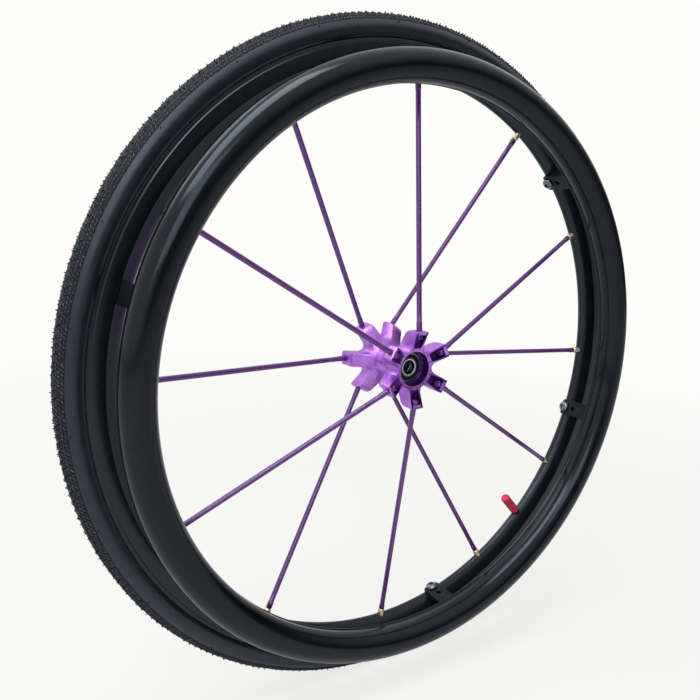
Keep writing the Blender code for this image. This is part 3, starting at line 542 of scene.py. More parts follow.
TYRE = wall_finish()
TREAD = tread_finish()
NIB = coating_finish("nib_rubber_detailed", linear(9, 10, 13), linear(20, 22, 26), 0.6, 0.1)
RIM = coating_finish("rim_coating_detailed", linear(9, 12, 19), linear(17, 21, 30), 0.22, 0.5)
HANDRIM = coating_finish("handrim_coating_detailed", linear(4, 6, 10), linear(9, 12, 18),
                         0.15, 0.36)
TAB = coating_finish("tab_coating_detailed", linear(13, 15, 20), linear(23, 26, 33), 0.36, 0.25)
HUB = hub_finish()
POCKET_SHADE = pocket_shade_finish()
SPOKE = spoke_finish()
BRASS = metal_finish("nipple_brass_detailed", linear(204, 182, 148), linear(240, 224, 198), 0.34)
STEEL = metal_finish("race_steel_detailed", linear(196, 198, 204), linear(224, 226, 230), 0.2)
# Darker steel for race faces deep in the recess: a painted shade
RACE_SHADE = metal_finish("race_painted_shade", linear(84, 86, 98), linear(124, 126, 138), 0.22)
SPACER = metal_finish("spacer_alloy_detailed", linear(120, 122, 128), linear(150, 152, 158), 0.35)
SCREW = metal_finish("screw_steel_detailed", linear(92, 94, 100), linear(138, 140, 146), 0.26)
SEAL = coating_finish("seal_rubber_detailed", linear(16, 16, 18), linear(28, 28, 31), 0.5)
BUTYL = coating_finish("butyl_detailed", linear(22, 22, 23), linear(34, 34, 35), 0.6)
TAPE = coating_finish("tape_woven", linear(196, 190, 170), linear(222, 218, 204), 0.8)
STEM = coating_finish("stem_rubber", linear(18, 18, 20), linear(30, 30, 33), 0.5)
CAP = cap_finish()


# The tyre, its tube and the rim tape.

PITCHES = 290
# Places of the mesh columns along one pitch, as shares of it
BAR_EDGES = (0.0, 0.07, 0.31, 0.38, 0.50, 0.57, 0.81, 0.88)
# Rows of bars across half the tread: from and to in mm, and the columns on top
TREAD_ROWS = ((0.3, 2.0, (0, 1, 2, 3, 4, 7)), (2.6, 4.7, (1, 2, 6)), (5.3, 7.4, (0, 4, 5)),
              (8.0, 10.0, (2, 3, 6)), (10.6, 12.9, (0, 1, 5)))
TREAD_DEPTH = 0.0008
TREAD_SLANT = 1.1
TREAD_HALF = 0.0134
SHOULDER_FADE = 0.55
BAR_SINK = 0.0004
BAR_EDGE = 0.00035
WALL_STEPS = 16
# Raised lines round the side walls: their angle in the section, and their height
WALL_LINES = ((math.radians(112), 0.00025), (math.radians(117), 0.0002))
WALL_LINE_HALF = 0.045
CASING_WALL = 0.0026
CROWN_EXTRA = 0.0012
# Places on the inside of the casing, in degrees from the crown
INSIDE_ANGLES = (118, 90, 60, 30, 0, -30, -60, -90, -118)
# Moulding hairs in each pitch: arc from the middle, and share of the pitch
NIB_PLACES = ((0.0012, 0.19), (0.0042, 0.19), (0.0066, 0.53))
NIB_CHANCE = 0.62
NIB_LENGTHS = (0.0004, 0.0012)
NIB_RADIUS = 0.0006
NIB_ROOT = 0.0006
NIB_SIDES = 5
STUB_COUNT = 24
STUB_ANGLE = math.radians(68)


def tyre_rows():
    """Places across the tyre's outside, from the middle: (arc, row or None)."""
    rows = [(0.0, None)]
    for row in TREAD_ROWS:
        low, high = row[0] * MM, row[1] * MM
        rows += [(low, None), (low + BAR_EDGE, row), ((low + high) / 2, row),
                 (high - BAR_EDGE, row), (high, None)]
    return rows


def wall_drop(angle, shoulder):
    """How far the side wall lies inside the tyre's round section."""
    fade = max(0.0, 1 - (abs(angle) - shoulder) / SHOULDER_FADE)
    drop = TREAD_DEPTH * fade * fade * (3 - 2 * fade)
    for place, height in WALL_LINES:
        near = 1 - abs(abs(angle) - place) / WALL_LINE_HALF
        drop -= height * max(0.0, near)
    return drop


def casing_inside():
    """The beads and the inside of the casing, as (radius, y)."""
    bead = [(FLANGE_RADIUS + GAP, CHANNEL_HALF - GAP), (BEAD_RADIUS + GAP, CHANNEL_HALF - GAP),
            (BEAD_RADIUS + GAP, CHANNEL_HALF - GAP - SEAT_WIDTH)]
    inside = []
    for angle in INSIDE_ANGLES:
        turn = math.radians(angle)
        reach = TYRE_SECTION - (CASING_WALL + CROWN_EXTRA * max(0.0, math.cos(turn)))
        inside.append((SECTION_CENTER + reach * math.cos(turn), reach * math.sin(turn)))
    return bead + inside + [(r, -y) for r, y in reversed(bead)]


def tyre_mesh():
    """The tyre, with its slanted tread bars, as one closed mesh."""
    radius = TYRE_SECTION
    neck = math.acos((FLANGE_RADIUS + 0.0009 - SECTION_CENTER) / radius)
    shoulder = TREAD_HALF / radius
    columns = [(place / radius, row, True) for place, row in tyre_rows()]
    columns += [(shoulder + (neck - shoulder) * i / WALL_STEPS, None, False)
                for i in range(WALL_STEPS + 1)]
    across = [(-angle, row, tread) for angle, row, tread in reversed(columns[1:])] + columns
    inside = casing_inside()
    random.seed(3)
    sink = {(pitch, row[0], side): random.uniform(0.0, BAR_SINK)
            for pitch in range(PITCHES) for row in TREAD_ROWS for side in (-1, 1)}

    def slanted(angle):
        """How far the tread's slant carries a place round the axle."""
        return TREAD_SLANT * min(abs(angle), shoulder) * radius / TYRE_RADIUS

    steps = PITCHES * len(BAR_EDGES)
    verts = []
    for i in range(steps):
        pitch, edge = divmod(i, len(BAR_EDGES))
        base = (pitch + BAR_EDGES[edge]) / PITCHES * TURN
        for angle, row, tread in across:
            if not tread:
                drop = wall_drop(angle, shoulder)
            elif row and edge in row[2]:
                drop = sink[pitch, row[0], 1 if angle > 0 else -1]
            else:
                drop = TREAD_DEPTH
            reach = radius - drop
            r = SECTION_CENTER + reach * math.cos(angle)
            turn = base + slanted(angle)
            verts.append((r * math.cos(turn), reach * math.sin(angle), r * math.sin(turn)))
        turn = base + slanted(shoulder)
        verts += [(r * math.cos(turn), y, r * math.sin(turn)) for r, y in inside]
    return mesh_from(verts, ring_faces(len(verts) // steps, steps))


def nib_mesh():
    """Thin moulding hairs on the tread and stubs on the side walls."""
    random.seed(7)
    verts, faces = [], []

    def cone(turn, angle, length, radius):
        """A thin leaning cone standing on the tyre's surface."""
        out = Vector((math.cos(turn) * math.cos(angle), math.sin(angle),
                      math.sin(turn) * math.cos(angle)))
        center = Vector((SECTION_CENTER * math.cos(turn), 0, SECTION_CENTER * math.sin(turn)))
        around = Vector((-math.sin(turn), 0, math.cos(turn)))
        across = out.cross(around)
        foot = center + out * (TYRE_SECTION - NIB_ROOT)
        lean = around * random.uniform(-0.5, 0.5) + across * random.uniform(-0.5, 0.5)
        tip = foot + (out + lean * 0.6) * (length + NIB_ROOT)
        first = len(verts)
        for middle, share in ((foot, 1.0), (tip, 0.4)):
            for k in range(NIB_SIDES):
                spot = TURN * k / NIB_SIDES
                side = around * math.cos(spot) + across * math.sin(spot)
                verts.append(tuple(middle + side * radius * share))
        faces.append(tuple(range(first, first + NIB_SIDES)))
        faces.append(tuple(range(first + NIB_SIDES, first + 2 * NIB_SIDES)))
        for k in range(NIB_SIDES):
            n = (k + 1) % NIB_SIDES
            faces.append((first + k, first + n, first + NIB_SIDES + n, first + NIB_SIDES + k))

    for pitch in range(PITCHES):
        base = TURN * pitch / PITCHES
        for side in (-1, 1):
            for place, share in NIB_PLACES:
                if random.random() < NIB_CHANCE:
                    turn = base + share * TURN / PITCHES + TREAD_SLANT * place / TYRE_RADIUS
                    cone(turn, side * place / TYRE_SECTION, random.uniform(*NIB_LENGTHS),
                         NIB_RADIUS)
    for index in range(STUB_COUNT):
        turn = TURN * index / STUB_COUNT + 0.11
        for side in (-1, 1):
            cone(turn, side * STUB_ANGLE, 0.0010, 0.0005)
    return mesh_from(verts, faces)


def tread_faces(mesh, index):
    """Give the faces of the tread their own material."""
    for face in mesh.polygons:
        place = face.center
        rise = math.hypot(place.x, place.z) - SECTION_CENTER
        if math.atan2(abs(place.y), rise) < TREAD_HALF / TYRE_SECTION:
            face.material_index = index


CASING = piece("tyre_casing", tyre_mesh(), TYRE, ["tyre"], smooth=28)
CASING.data.materials.append(TREAD)
tread_faces(CASING.data, 1)
piece("tyre_moulding_nibs", nib_mesh(), NIB)

TUBE_SECTION = 0.0083
TUBE_NECK = math.radians(118)
TUBE_OUT = [(BEAD_RADIUS - 0.0025, -0.005), (BEAD_RADIUS + 0.0005, -0.0055)]
TUBE_OUT += arc((SECTION_CENTER, 0.0), TUBE_SECTION, -TUBE_NECK, TUBE_NECK, 16)
TUBE_OUT += [(BEAD_RADIUS + 0.0005, 0.0055), (BEAD_RADIUS - 0.0025, 0.005)]
piece("air_tube", turned(TUBE_OUT, 96), BUTYL, ["inner_tube"])

TAPE_LOW = WELL_RADIUS + GAP
TAPE_TOP = WELL_RADIUS + 0.0011
TAPE_HALF = 0.0059
TAPE_OUT = rounded([(TAPE_LOW, -TAPE_HALF, 0.0002), (TAPE_TOP, -TAPE_HALF, 0.0002),
                    (TAPE_TOP, TAPE_HALF, 0.0002), (TAPE_LOW, TAPE_HALF, 0.0002)], 2)
piece("tape_band", turned(TAPE_OUT, 96), TAPE, ["rim_tape"])


# The rim.

# One half of the rim's outline: (radius, y, corner radius)
RIM_HALF_CORNERS = [(NOSE_RADIUS, NOSE_HALF, 0.0035), (NOSE_SHOULDER, NOSE_SHOULDER_HALF, 0.003),
                    (BED_RADIUS, BED_HALF, 0.0005), (CREASE_RADIUS, RIM_HALF, 0.0016),
                    (FLANGE_EDGE, RIM_HALF, 0.0004),
                    (FLANGE_EDGE + FLANGE_STEP, RIM_HALF - FLANGE_STEP, 0.0004),
                    (FLANGE_RADIUS, RIM_HALF - FLANGE_LEAN, 0.0004),
                    (FLANGE_RADIUS, CHANNEL_HALF, 0.0003), (BEAD_RADIUS, CHANNEL_HALF, 0.0006),
                    (BEAD_RADIUS, WELL_HALF, 0.0005), (WELL_RADIUS, WELL_HALF, 0.001)]


def rod(radius, start, end, steps):
    """A plain rod along +X."""
    mesh = turned([(0, start), (radius, start), (radius, end), (0, end)], steps)
    return placed(mesh, ALONG_X)


def rim_mesh():
    """The rim with its nipple, screw and valve holes."""
    corners = RIM_HALF_CORNERS + [(r, -y, edge) for r, y, edge in reversed(RIM_HALF_CORNERS)]
    shell = turned(rounded(corners, 4), 288)
    bore = []
    for side in (OUTBOARD, INBOARD):
        length = spoke_length(side)
        hole = turned([(0, length - BED_HALF), (NIPPLE_RADIUS + GAP, length - BED_HALF),
                       (NIPPLE_RADIUS + GAP, length + 0.0024), (0, length + 0.0024)], 24)
        bore.append(placed(hole, *[radial(angle) @ spoke_frame(side)
                                   for angle in spoke_angles(side)]))
    bore.append(placed(rod(SCREW_RADIUS + GAP, NOSE_RADIUS - RIM_WALL, BED_RADIUS + 0.003, 24),
                       *[radial(angle) for angle in TAB_ANGLES]))
    bore.append(placed(rod(VALVE_RADIUS + GAP, NOSE_RADIUS - RIM_WALL, WELL_RADIUS + RIM_WALL, 32),
                       radial(VALVE_ANGLE)))
    return booled(shell, *[("DIFFERENCE", mesh) for mesh in bore])


piece("rim_shell", rim_mesh(), RIM, ["rim"], smooth=24)


# The handrim.

# The lip's outline: height over the tube, and place as a share of half its width
LIP_OUTLINE = [(-0.0004, 1.1), (0.0003, 0.95), (0.0015, 0.66), (0.0018, 0.42)]


def handrim_mesh():
    """The hand tube with its lip and the groove on either side of it."""
    tube = HANDRIM_TUBE
    base = LIP_WIDTH / 2 / tube
    points = []
    for i in range(57):
        angle = LIP_ANGLE + base * 1.5 + (TURN - 3 * base) * i / 56
        points.append((tube, angle))
    points += [(tube + rise, LIP_ANGLE - base * share) for rise, share in LIP_OUTLINE]
    points += [(tube + rise, LIP_ANGLE + base * share) for rise, share in reversed(LIP_OUTLINE)]
    return turned([(HANDRIM_CENTER + r * math.cos(a), HANDRIM_Y + r * math.sin(a))
                   for r, a in points], 300)


piece("handrim_tube", handrim_mesh(), HANDRIM, ["handrim"], smooth=40)


# The tabs and their screws.

def tab_mesh():
    """A tab: foot under the rim, wedge on its side, saddle on the tube."""
    slope = Vector((CREASE_RADIUS - BED_RADIUS, BED_HALF - RIM_HALF)).normalized()
    normal = Vector((slope.y, -slope.x))
    foot = [(NOSE_SHOULDER - GAP, NOSE_SHOULDER_HALF + GAP / 3),
            (NOSE_RADIUS - GAP, NOSE_HALF + GAP / 3)]
    inner = NOSE_RADIUS - GAP - TAB_THICKNESS
    end = foot[0][1]
    crease = Vector((CREASE_RADIUS, -RIM_HALF)) + normal * GAP
    knee = Vector((BED_RADIUS, -BED_HALF)) + normal * GAP
    middle = math.atan2(crease.y - HANDRIM_Y, crease.x - HANDRIM_CENTER)
    reach = HANDRIM_TUBE - 0.0001
    half = TAB_SADDLE / 2 / reach
    saddle = arc((HANDRIM_CENTER, HANDRIM_Y), reach, middle - half, middle + half, 8)
    points = [(inner, end)] + foot + [(radius, -half) for radius, half in reversed(foot)]
    points += [tuple(knee), tuple(crease)] + saddle + [(inner, -BED_HALF)]
    mesh = extruded(points, -TAB_WIDTH / 2, TAB_WIDTH / 2)
    plan = rounded([(-RIM_HALF * 4, -TAB_WIDTH / 2, 0.0), (end, -TAB_WIDTH / 2, TAB_CORNER),
                    (end, TAB_WIDTH / 2, TAB_CORNER), (-RIM_HALF * 4, TAB_WIDTH / 2, 0.0)], 8)
    # The plan is drawn in (y, z) and stands along +X.
    keep = placed(extruded(plan, inner - 0.01, HANDRIM_CENTER + 0.03), PLAN_TO_X)
    hole = rod(SCREW_RADIUS + GAP, inner - 0.004, BED_RADIUS + 0.004, 32)
    second = placed(rod(TAB_HOLE_RADIUS, inner - 0.004, inner + 0.0045, 32),
                    Matrix.Translation((0, -TAB_HOLE_PLACE, 0)))
    return booled(mesh, ("INTERSECT", keep), ("DIFFERENCE", hole), ("DIFFERENCE", second),
                  bevel=0.00045, segments=3)


def screw_mesh():
    """A button-head screw with a hexagon socket, along +X."""
    seat = NOSE_RADIUS - GAP - TAB_THICKNESS - GAP
    top = seat - SCREW_HEAD_HEIGHT
    # The dome starts at the edge of a small flat, and ends over a low rim.
    first, low = 28, 0.0004
    profile = [(0, top)]
    for i in range(9):
        angle = math.radians(first + (90 - first) * i / 8)
        profile.append((SCREW_HEAD * math.sin(angle),
                        seat - low - (SCREW_HEAD_HEIGHT - low) * math.cos(angle)
                        / math.cos(math.radians(first))))
    profile += [(SCREW_HEAD, seat), (SCREW_RADIUS, seat),
                (SCREW_RADIUS, seat + SCREW_LENGTH - 0.0004),
                (SCREW_RADIUS - 0.0005, seat + SCREW_LENGTH), (0, seat + SCREW_LENGTH)]
    body = placed(turned(profile, 40), ALONG_X)
    across = SCREW_SOCKET / 2 / math.cos(PI / 6)
    socket = [(across * math.cos(TURN * i / 6), across * math.sin(TURN * i / 6))
              for i in range(6)]
    hexagon = placed(extruded(socket, top - 0.001, top + 0.0018), Matrix.Rotation(PI / 2, 4, "Y"))
    return booled(body, ("DIFFERENCE", hexagon), bevel=0.00012)


TAB_MESH = tab_mesh()
SCREW_MESH = screw_mesh()
for number, angle in enumerate(TAB_ANGLES, start=1):
    piece(f"handrim_bracket_{number}", TAB_MESH, TAB, [f"handrim_tab_{number}"],
          matrix=radial(angle))
    piece(f"bracket_bolt_{number}", SCREW_MESH, SCREW, [f"tab_screw_{number}"],
          matrix=radial(angle))


# The hub.

def star_points():
    """The petals' outline across the axle, with rounded tips and valleys."""
    tip = PETAL_RADIUS + 0.0015
    reach = (PETAL_HALF + PETAL_VALLEY) / math.sin(PI / 6)
    corners = []
    for i in range(6):
        angle = TURN / 6 * i
        along = Vector((math.cos(angle), math.sin(angle)))
        across = Vector((-along.y, along.x))
        for sign in (-1, 1):
            place = along * tip + across * PETAL_HALF * sign
            corners.append((place.x, place.y, PETAL_CORNER))
        middle = angle + PI / 6
        center = Vector((math.cos(middle), math.sin(middle))) * reach
        for j in range(13):
            turn = angle - PI / 2 - (PI - TURN / 6) * j / 12
            place = center + Vector((math.cos(turn), math.sin(turn))) * PETAL_VALLEY
            corners.append((place.x, place.y, 0.0))
    return rounded(corners, 5)


def flange_mesh(side):
    """One flange's ring of petals."""
    profile = [(HUB_BORE - 0.002, PETAL_ROOT), (BARREL_RADIUS, PETAL_ROOT)]
    profile += arc((PETAL_RADIUS - SHOULDER, SHOULDER_PLACE), SHOULDER, math.radians(-70), 0.0, 9)
    profile += [(PETAL_RADIUS, PETAL_FACE - 0.0008), (PETAL_RADIUS - 0.0008, PETAL_FACE),
                (BOSS_RADIUS, PETAL_BASE), (HUB_BORE - 0.002, PETAL_BASE)]
    blank = turned([(r, side_y(side, d)) for r, d in profile], 144)
    star = extruded(star_points(), side_y(side, PETAL_ROOT - 0.001),
                    side_y(side, PETAL_FACE + 0.001))
    # The star is drawn in (x, z) and stands along the axle.
    star = placed(star, radial(spoke_angles(side)[0]) @ FACE_TO_Y)
    return booled(blank, ("INTERSECT", star))


def pocket_meshes(side):
    """Spoke-head pockets and spoke holes of one flange."""
    floor = side * (SPOKE_HEAD + GAP)
    mouth = -side * PETAL_FACE
    low, high = min(floor, mouth), max(floor, mouth)
    inner = POCKET_INNER - PETAL_RADIUS
    outline = rounded([(inner, -POCKET_HALF, 0.0018), (-POCKET_TIP, -POCKET_HALF, 0.0012),
                       (-POCKET_TIP, POCKET_HALF, 0.0012), (inner, POCKET_HALF, 0.0018)], 5)
    # Drawn in (along the spoke, across), it stands along the spoke frame's X.
    pocket = placed(extruded(outline, low, high), PLAN_TO_X)
    radius = FERRULE_RADIUS + GAP
    hole = turned([(0, -POCKET_TIP - GAP), (radius, -POCKET_TIP - GAP),
                   (radius, POCKET_TIP), (0, POCKET_TIP)], 28)
    places = [radial(angle) @ spoke_frame(side) for angle in spoke_angles(side)]
    return [placed(pocket, *places), placed(hole, *places)]


def hub_mesh():
    """The hub shell: barrel, bosses, petals, bearing seats and pockets."""
    out_face, in_face = side_y(OUTBOARD, BOSS_FACE), side_y(INBOARD, BOSS_FACE)
    out_root, in_root = side_y(OUTBOARD, SHOULDER_PLACE), side_y(INBOARD, SHOULDER_PLACE)
    core = 0.006
    body = turned([(core, out_face), (BOSS_RADIUS - 0.0005, out_face),
                   (BOSS_RADIUS, out_face + 0.0005), (BOSS_RADIUS, out_root),
                   (BARREL_RADIUS, out_root), (BARREL_RADIUS, in_root), (BOSS_RADIUS, in_root),
                   (BOSS_RADIUS, in_face - 0.0005), (BOSS_RADIUS - 0.0005, in_face),
                   (core, in_face)], 144)
    seat = BEARING_RADIUS + GAP
    out_stop = OUT_BEARING + BEARING_WIDTH + GAP
    in_stop = IN_BEARING - BEARING_WIDTH - GAP
    low, high = side_y(OUTBOARD, PETAL_FACE), side_y(INBOARD, PETAL_FACE)
    bore = turned([(core / 2, low), (RECESS_RADIUS, low), (RECESS_RADIUS, OUT_BEARING - 0.001),
                   (seat, OUT_BEARING - 0.001), (seat, out_stop), (HUB_BORE, out_stop),
                   (HUB_BORE, in_stop), (seat, in_stop), (seat, high), (core / 2, high)], 144)
    steps = [("UNION", flange_mesh(OUTBOARD)), ("UNION", flange_mesh(INBOARD)),
             ("DIFFERENCE", bore)]
    for side in (OUTBOARD, INBOARD):
        steps += [("DIFFERENCE", mesh) for mesh in pocket_meshes(side)]
    return booled(body, *steps, bevel=0.0003, segments=2)


def shade_pockets(mesh, index):
    """Give the faces inside the pockets and the recess their own darker material, a painted shade.
    """
    frames = []
    for side in (OUTBOARD, INBOARD):
        low, high = sorted((side * (SPOKE_HEAD + GAP), -side * PETAL_FACE))
        for angle in spoke_angles(side):
            frames.append(((radial(angle) @ spoke_frame(side)).inverted(), low, high))
    near = 0.0003
    for face in mesh.polygons:
        place = face.center
        radius = math.hypot(place.x, place.z)
        if radius < RECESS_RADIUS + near and place.y < OUT_BEARING:
            face.material_index = index
            continue
        for turn, low, high in frames:
            spot = turn @ place
            if (low - near < spot.x < high + near and abs(spot.z) < POCKET_HALF + near
                    and POCKET_INNER - PETAL_RADIUS - near < spot.y < near - POCKET_TIP):
                normal = turn.to_3x3() @ face.normal
                if max(abs(normal.y), abs(normal.z)) > 0.5 or abs(spot.x) < SPOKE_HEAD + 0.001:
                    face.material_index = index


HUB_BODY = piece("hub_body", hub_mesh(), HUB, ["hub_shell"], smooth=30)
# The pockets and the recess get a darker purple: painted shade
HUB_BODY.data.materials.append(POCKET_SHADE)
shade_pockets(HUB_BODY.data, 1)


# The spokes and the nipples.

def spoke_mesh(side):
    """A spoke with its head, ferrule, jacket and threaded end."""
    length = spoke_length(side)
    seat = -POCKET_TIP - GAP
    end = length - NIPPLE_REACH - GAP
    profile = [(0, seat - SPOKE_HEAD_LENGTH), (SPOKE_HEAD - 0.0006, seat - SPOKE_HEAD_LENGTH),
               (SPOKE_HEAD, seat - SPOKE_HEAD_LENGTH + 0.0006), (SPOKE_HEAD, seat),
               (FERRULE_RADIUS, seat), (FERRULE_RADIUS, FERRULE_LENGTH - 0.0006),
               (FERRULE_RADIUS - 0.0001, FERRULE_LENGTH), (SPOKE_RADIUS, FERRULE_LENGTH + GAP)]
    collar = COLLAR_START - PETAL_RADIUS + 0.0008
    rings = 24
    for i in range(1, rings + 1):
        profile.append((SPOKE_RADIUS, FERRULE_LENGTH + (collar - FERRULE_LENGTH) * i / rings))
    profile += [(COLLAR_RADIUS - 0.0001, collar + 0.0003), (COLLAR_RADIUS, collar + 0.0008),
                (COLLAR_RADIUS, end - 0.0004), (SPOKE_RADIUS, end), (THREAD_RADIUS, end),
                (THREAD_RADIUS, length), (0, length)]
    return placed(turned(profile, 28), spoke_frame(side))


def nipple_mesh(side):
    """A nipple with a rounded cone and a seated head."""
    length = spoke_length(side)
    tilt = abs(math.asin(side_y(side, SPOKE_PLANE) / length))
    seat = length + (RIM_WALL + GAP + NIPPLE_HEAD * math.sin(tilt)) / math.cos(tilt)
    top = seat + NIPPLE_HEAD_HEIGHT
    start = length - NIPPLE_REACH
    bore = THREAD_RADIUS + GAP
    profile = [(bore, start + 0.0002), (bore + 0.0002, start), (SPOKE_RADIUS - 0.0001, start)]
    for i in range(1, 7):
        share = i / 6
        profile.append((SPOKE_RADIUS + (NIPPLE_RADIUS - SPOKE_RADIUS) * math.sin(share * PI / 2),
                        start + 0.0016 * share))
    profile += [(NIPPLE_RADIUS, seat), (NIPPLE_HEAD, seat), (NIPPLE_HEAD, top), (bore, top)]
    return placed(turned(profile, 28), spoke_frame(side))


for side in (OUTBOARD, INBOARD):
    shank, cup = spoke_mesh(side), nipple_mesh(side)
    for angle in spoke_angles(side):
        number = round(math.degrees(angle) / 30) + 1
        piece(f"purple_spoke_{number:02d}", shank, SPOKE, [f"spoke_{number:02d}"],
              matrix=radial(angle))
        piece(f"brass_nipple_{number:02d}", cup, BRASS, [f"nipple_{number:02d}"],
              matrix=radial(angle))


# The bearings and the spacer between them.

def bearing(side, label, end_face):
    """Races, seals and the balls in their cage."""
    middle = end_face - side * BEARING_WIDTH / 2
    half = BEARING_WIDTH / 2
    ball = (INNER_RACE + OUTER_BORE) / 2
    groove = BALL_RADIUS + GAP
    edge = 0.0004
    for name, back, front, deep, body in (
            ("outer", BEARING_RADIUS, OUTER_BORE, ball + groove, "wheel"),
            ("inner", AXLE_RADIUS + 0.0001, INNER_RACE, ball - groove, "axle_line")):
        face_break = (back + front) / 2 + math.copysign(0.0002, back - front)
        ring = rounded([(back, middle - half, edge), (face_break, middle - half, 0.0),
                        (front, middle - half, 0.0002),
                        (front, middle - groove, 0.0), (deep, middle, 0.0),
                        (front, middle + groove, 0.0), (front, middle + half, 0.0002),
                        (face_break, middle + half, 0.0), (back, middle + half, edge)], 3)
        made = piece(f"{label}_{name}_ring", turned(ring, 96), STEEL, [f"{label}_{name}_race"],
                     body=body)
        # Faces outside BRIGHT_RADIUS take the darker steel: painted shade
        made.data.materials.append(RACE_SHADE)
        for face in made.data.polygons:
            if math.hypot(face.center.x, face.center.z) > BRIGHT_RADIUS:
                face.material_index = 1
    for end, word in ((side, "outer"), (-side, "inner")):
        flat = middle + end * (half - GAP)
        low, high = INNER_RACE + GAP, OUTER_BORE - GAP
        back = flat - end * 0.0006
        rib = flat - end * 0.00025
        profile = [(low, back), (high, back), (high, flat), (high - 0.0007, flat),
                   (high - 0.0009, rib), (low + 0.0009, rib), (low + 0.0007, flat), (low, flat)]
        piece(f"{label}_{word}_shield", turned(profile, 96), SEAL, [f"{label}_{word}_seal"])
    cage = turned(rounded([(ball - 0.0005, middle - 0.0009, 0.0002),
                           (ball + 0.0005, middle - 0.0009, 0.0002),
                           (ball + 0.0005, middle + 0.0009, 0.0002),
                           (ball - 0.0005, middle + 0.0009, 0.0002)], 2), 72)
    sphere = turned([(0, -BALL_RADIUS)] + [(BALL_RADIUS * math.sin(PI * i / 12),
                                            -BALL_RADIUS * math.cos(PI * i / 12))
                                           for i in range(1, 12)] + [(0, BALL_RADIUS)], 16)
    balls = placed(sphere, *[radial(TURN * i / BALL_COUNT) @ Matrix.Translation((ball, middle, 0))
                             for i in range(BALL_COUNT)])
    piece(f"{label}_ball_set", booled(cage, ("UNION", balls)), STEEL, [f"{label}_ball_cage"],
          body=f"{label}_cage")


bearing(OUTBOARD, "outboard", OUT_BEARING)
bearing(INBOARD, "inboard", IN_BEARING)

SLEEVE_LOW = OUT_BEARING + BEARING_WIDTH + GAP
SLEEVE_HIGH = IN_BEARING - BEARING_WIDTH - GAP
SLEEVE = rounded([(AXLE_RADIUS + GAP, SLEEVE_LOW, 0.0003), (SLEEVE_RADIUS, SLEEVE_LOW, 0.0004),
                  (SLEEVE_RADIUS, SLEEVE_HIGH, 0.0004),
                  (AXLE_RADIUS + GAP, SLEEVE_HIGH, 0.0003)], 3)
piece("axle_sleeve", turned(SLEEVE, 96), SPACER, ["axle_spacer"], body="axle_line")


# The valve.

def flute(radius, y, angle):
    """The cap's grip: shallow flutes along most of its length."""
    if radius < CAP_RADIUS - 0.0002 or not CAP_TIP + 0.002 < y < CAP_OPEN - 0.0015:
        return radius
    return radius - FLUTE_DEPTH * (0.5 - 0.5 * math.cos(angle * FLUTES))


def valve_meshes():
    """Stem and cap, along +X before they are turned to their place."""
    thread = THREAD_CREST
    tip = CAP_TIP + 0.0022
    well = tip + 0.0131
    stem = [(0, well), (PIN_BORE, well), (PIN_BORE, tip), (thread, tip)]
    for i in range(18):
        y = tip + 0.0004 + (CAP_OPEN - 0.001 - tip) * i / 18
        stem += [(thread, y), (thread - 0.0003, y + 0.0004)]
    stem += [(thread, CAP_OPEN), (VALVE_RADIUS - 0.0002, CAP_OPEN + GAP),
             (VALVE_RADIUS, CAP_OPEN + 0.0008), (VALVE_RADIUS, BEAD_RADIUS + 0.0015),
             (0, BEAD_RADIUS + 0.0015)]
    cap = [(0, CAP_TIP), (CAP_RADIUS - 0.0009, CAP_TIP), (CAP_RADIUS - 0.0003, CAP_TIP + 0.0003),
           (CAP_RADIUS, CAP_TIP + 0.0009)]
    for i in range(12):
        cap.append((CAP_RADIUS, CAP_TIP + 0.0019 + (CAP_OPEN - CAP_TIP - 0.0034) * i / 11))
    cap += [(CAP_RADIUS, CAP_OPEN - 0.0004), (CAP_RADIUS - 0.0003, CAP_OPEN),
            (thread + GAP, CAP_OPEN), (thread + GAP, CAP_TIP + 0.0016), (0, CAP_TIP + 0.0016)]
    return turned(stem, 40), turned(cap, 84, flute)


STEM_MESH, CAP_MESH = valve_meshes()
VALVE_PLACE = radial(VALVE_ANGLE) @ ALONG_X
piece("valve_tube", STEM_MESH, STEM, ["valve_stem"], matrix=VALVE_PLACE)
piece("valve_red_cap", CAP_MESH, CAP, ["valve_cap"], matrix=VALVE_PLACE, smooth=50)

# The pin keeps its solid's shape and only takes a material.
for pin_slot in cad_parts["valve_pin"].material_slots:
    pin_slot.material = BRASS


# The stage, the light and the camera.

ROOM_COLOR = linear(254, 253, 251)
# The share of the floor that the camera sees as plain room white, close to the
# wheel; it grows to all of it over FLOOR_FADE, and reflections see FLOOR_SHEEN of it
FLOOR_GLOW = 0.8
FLOOR_FADE = (0.6, 1.7)
FLOOR_SHEEN = 0.25
FLOOR_SIZE = 6.0
# What reflections see of the room: a direction, the range of its cosine over
# which that side brightens, and how bright it gets
ROOM_SIDES = (((0, 0, 1), 0.2, 0.8, 1.0), ((-1, 0, 0), 0.2, 0.8, 1.0),
              ((0, 1, 0), -0.1, 0.3, 0.5), ((0, -1, 0), 0.1, 0.6, 0.15))
SOFT_COLOR = (1.0, 0.99, 0.98, 1.0)
SOFT_LEVEL = 0.15
LAMP_COLOR = (0.95, 0.975, 1.0)


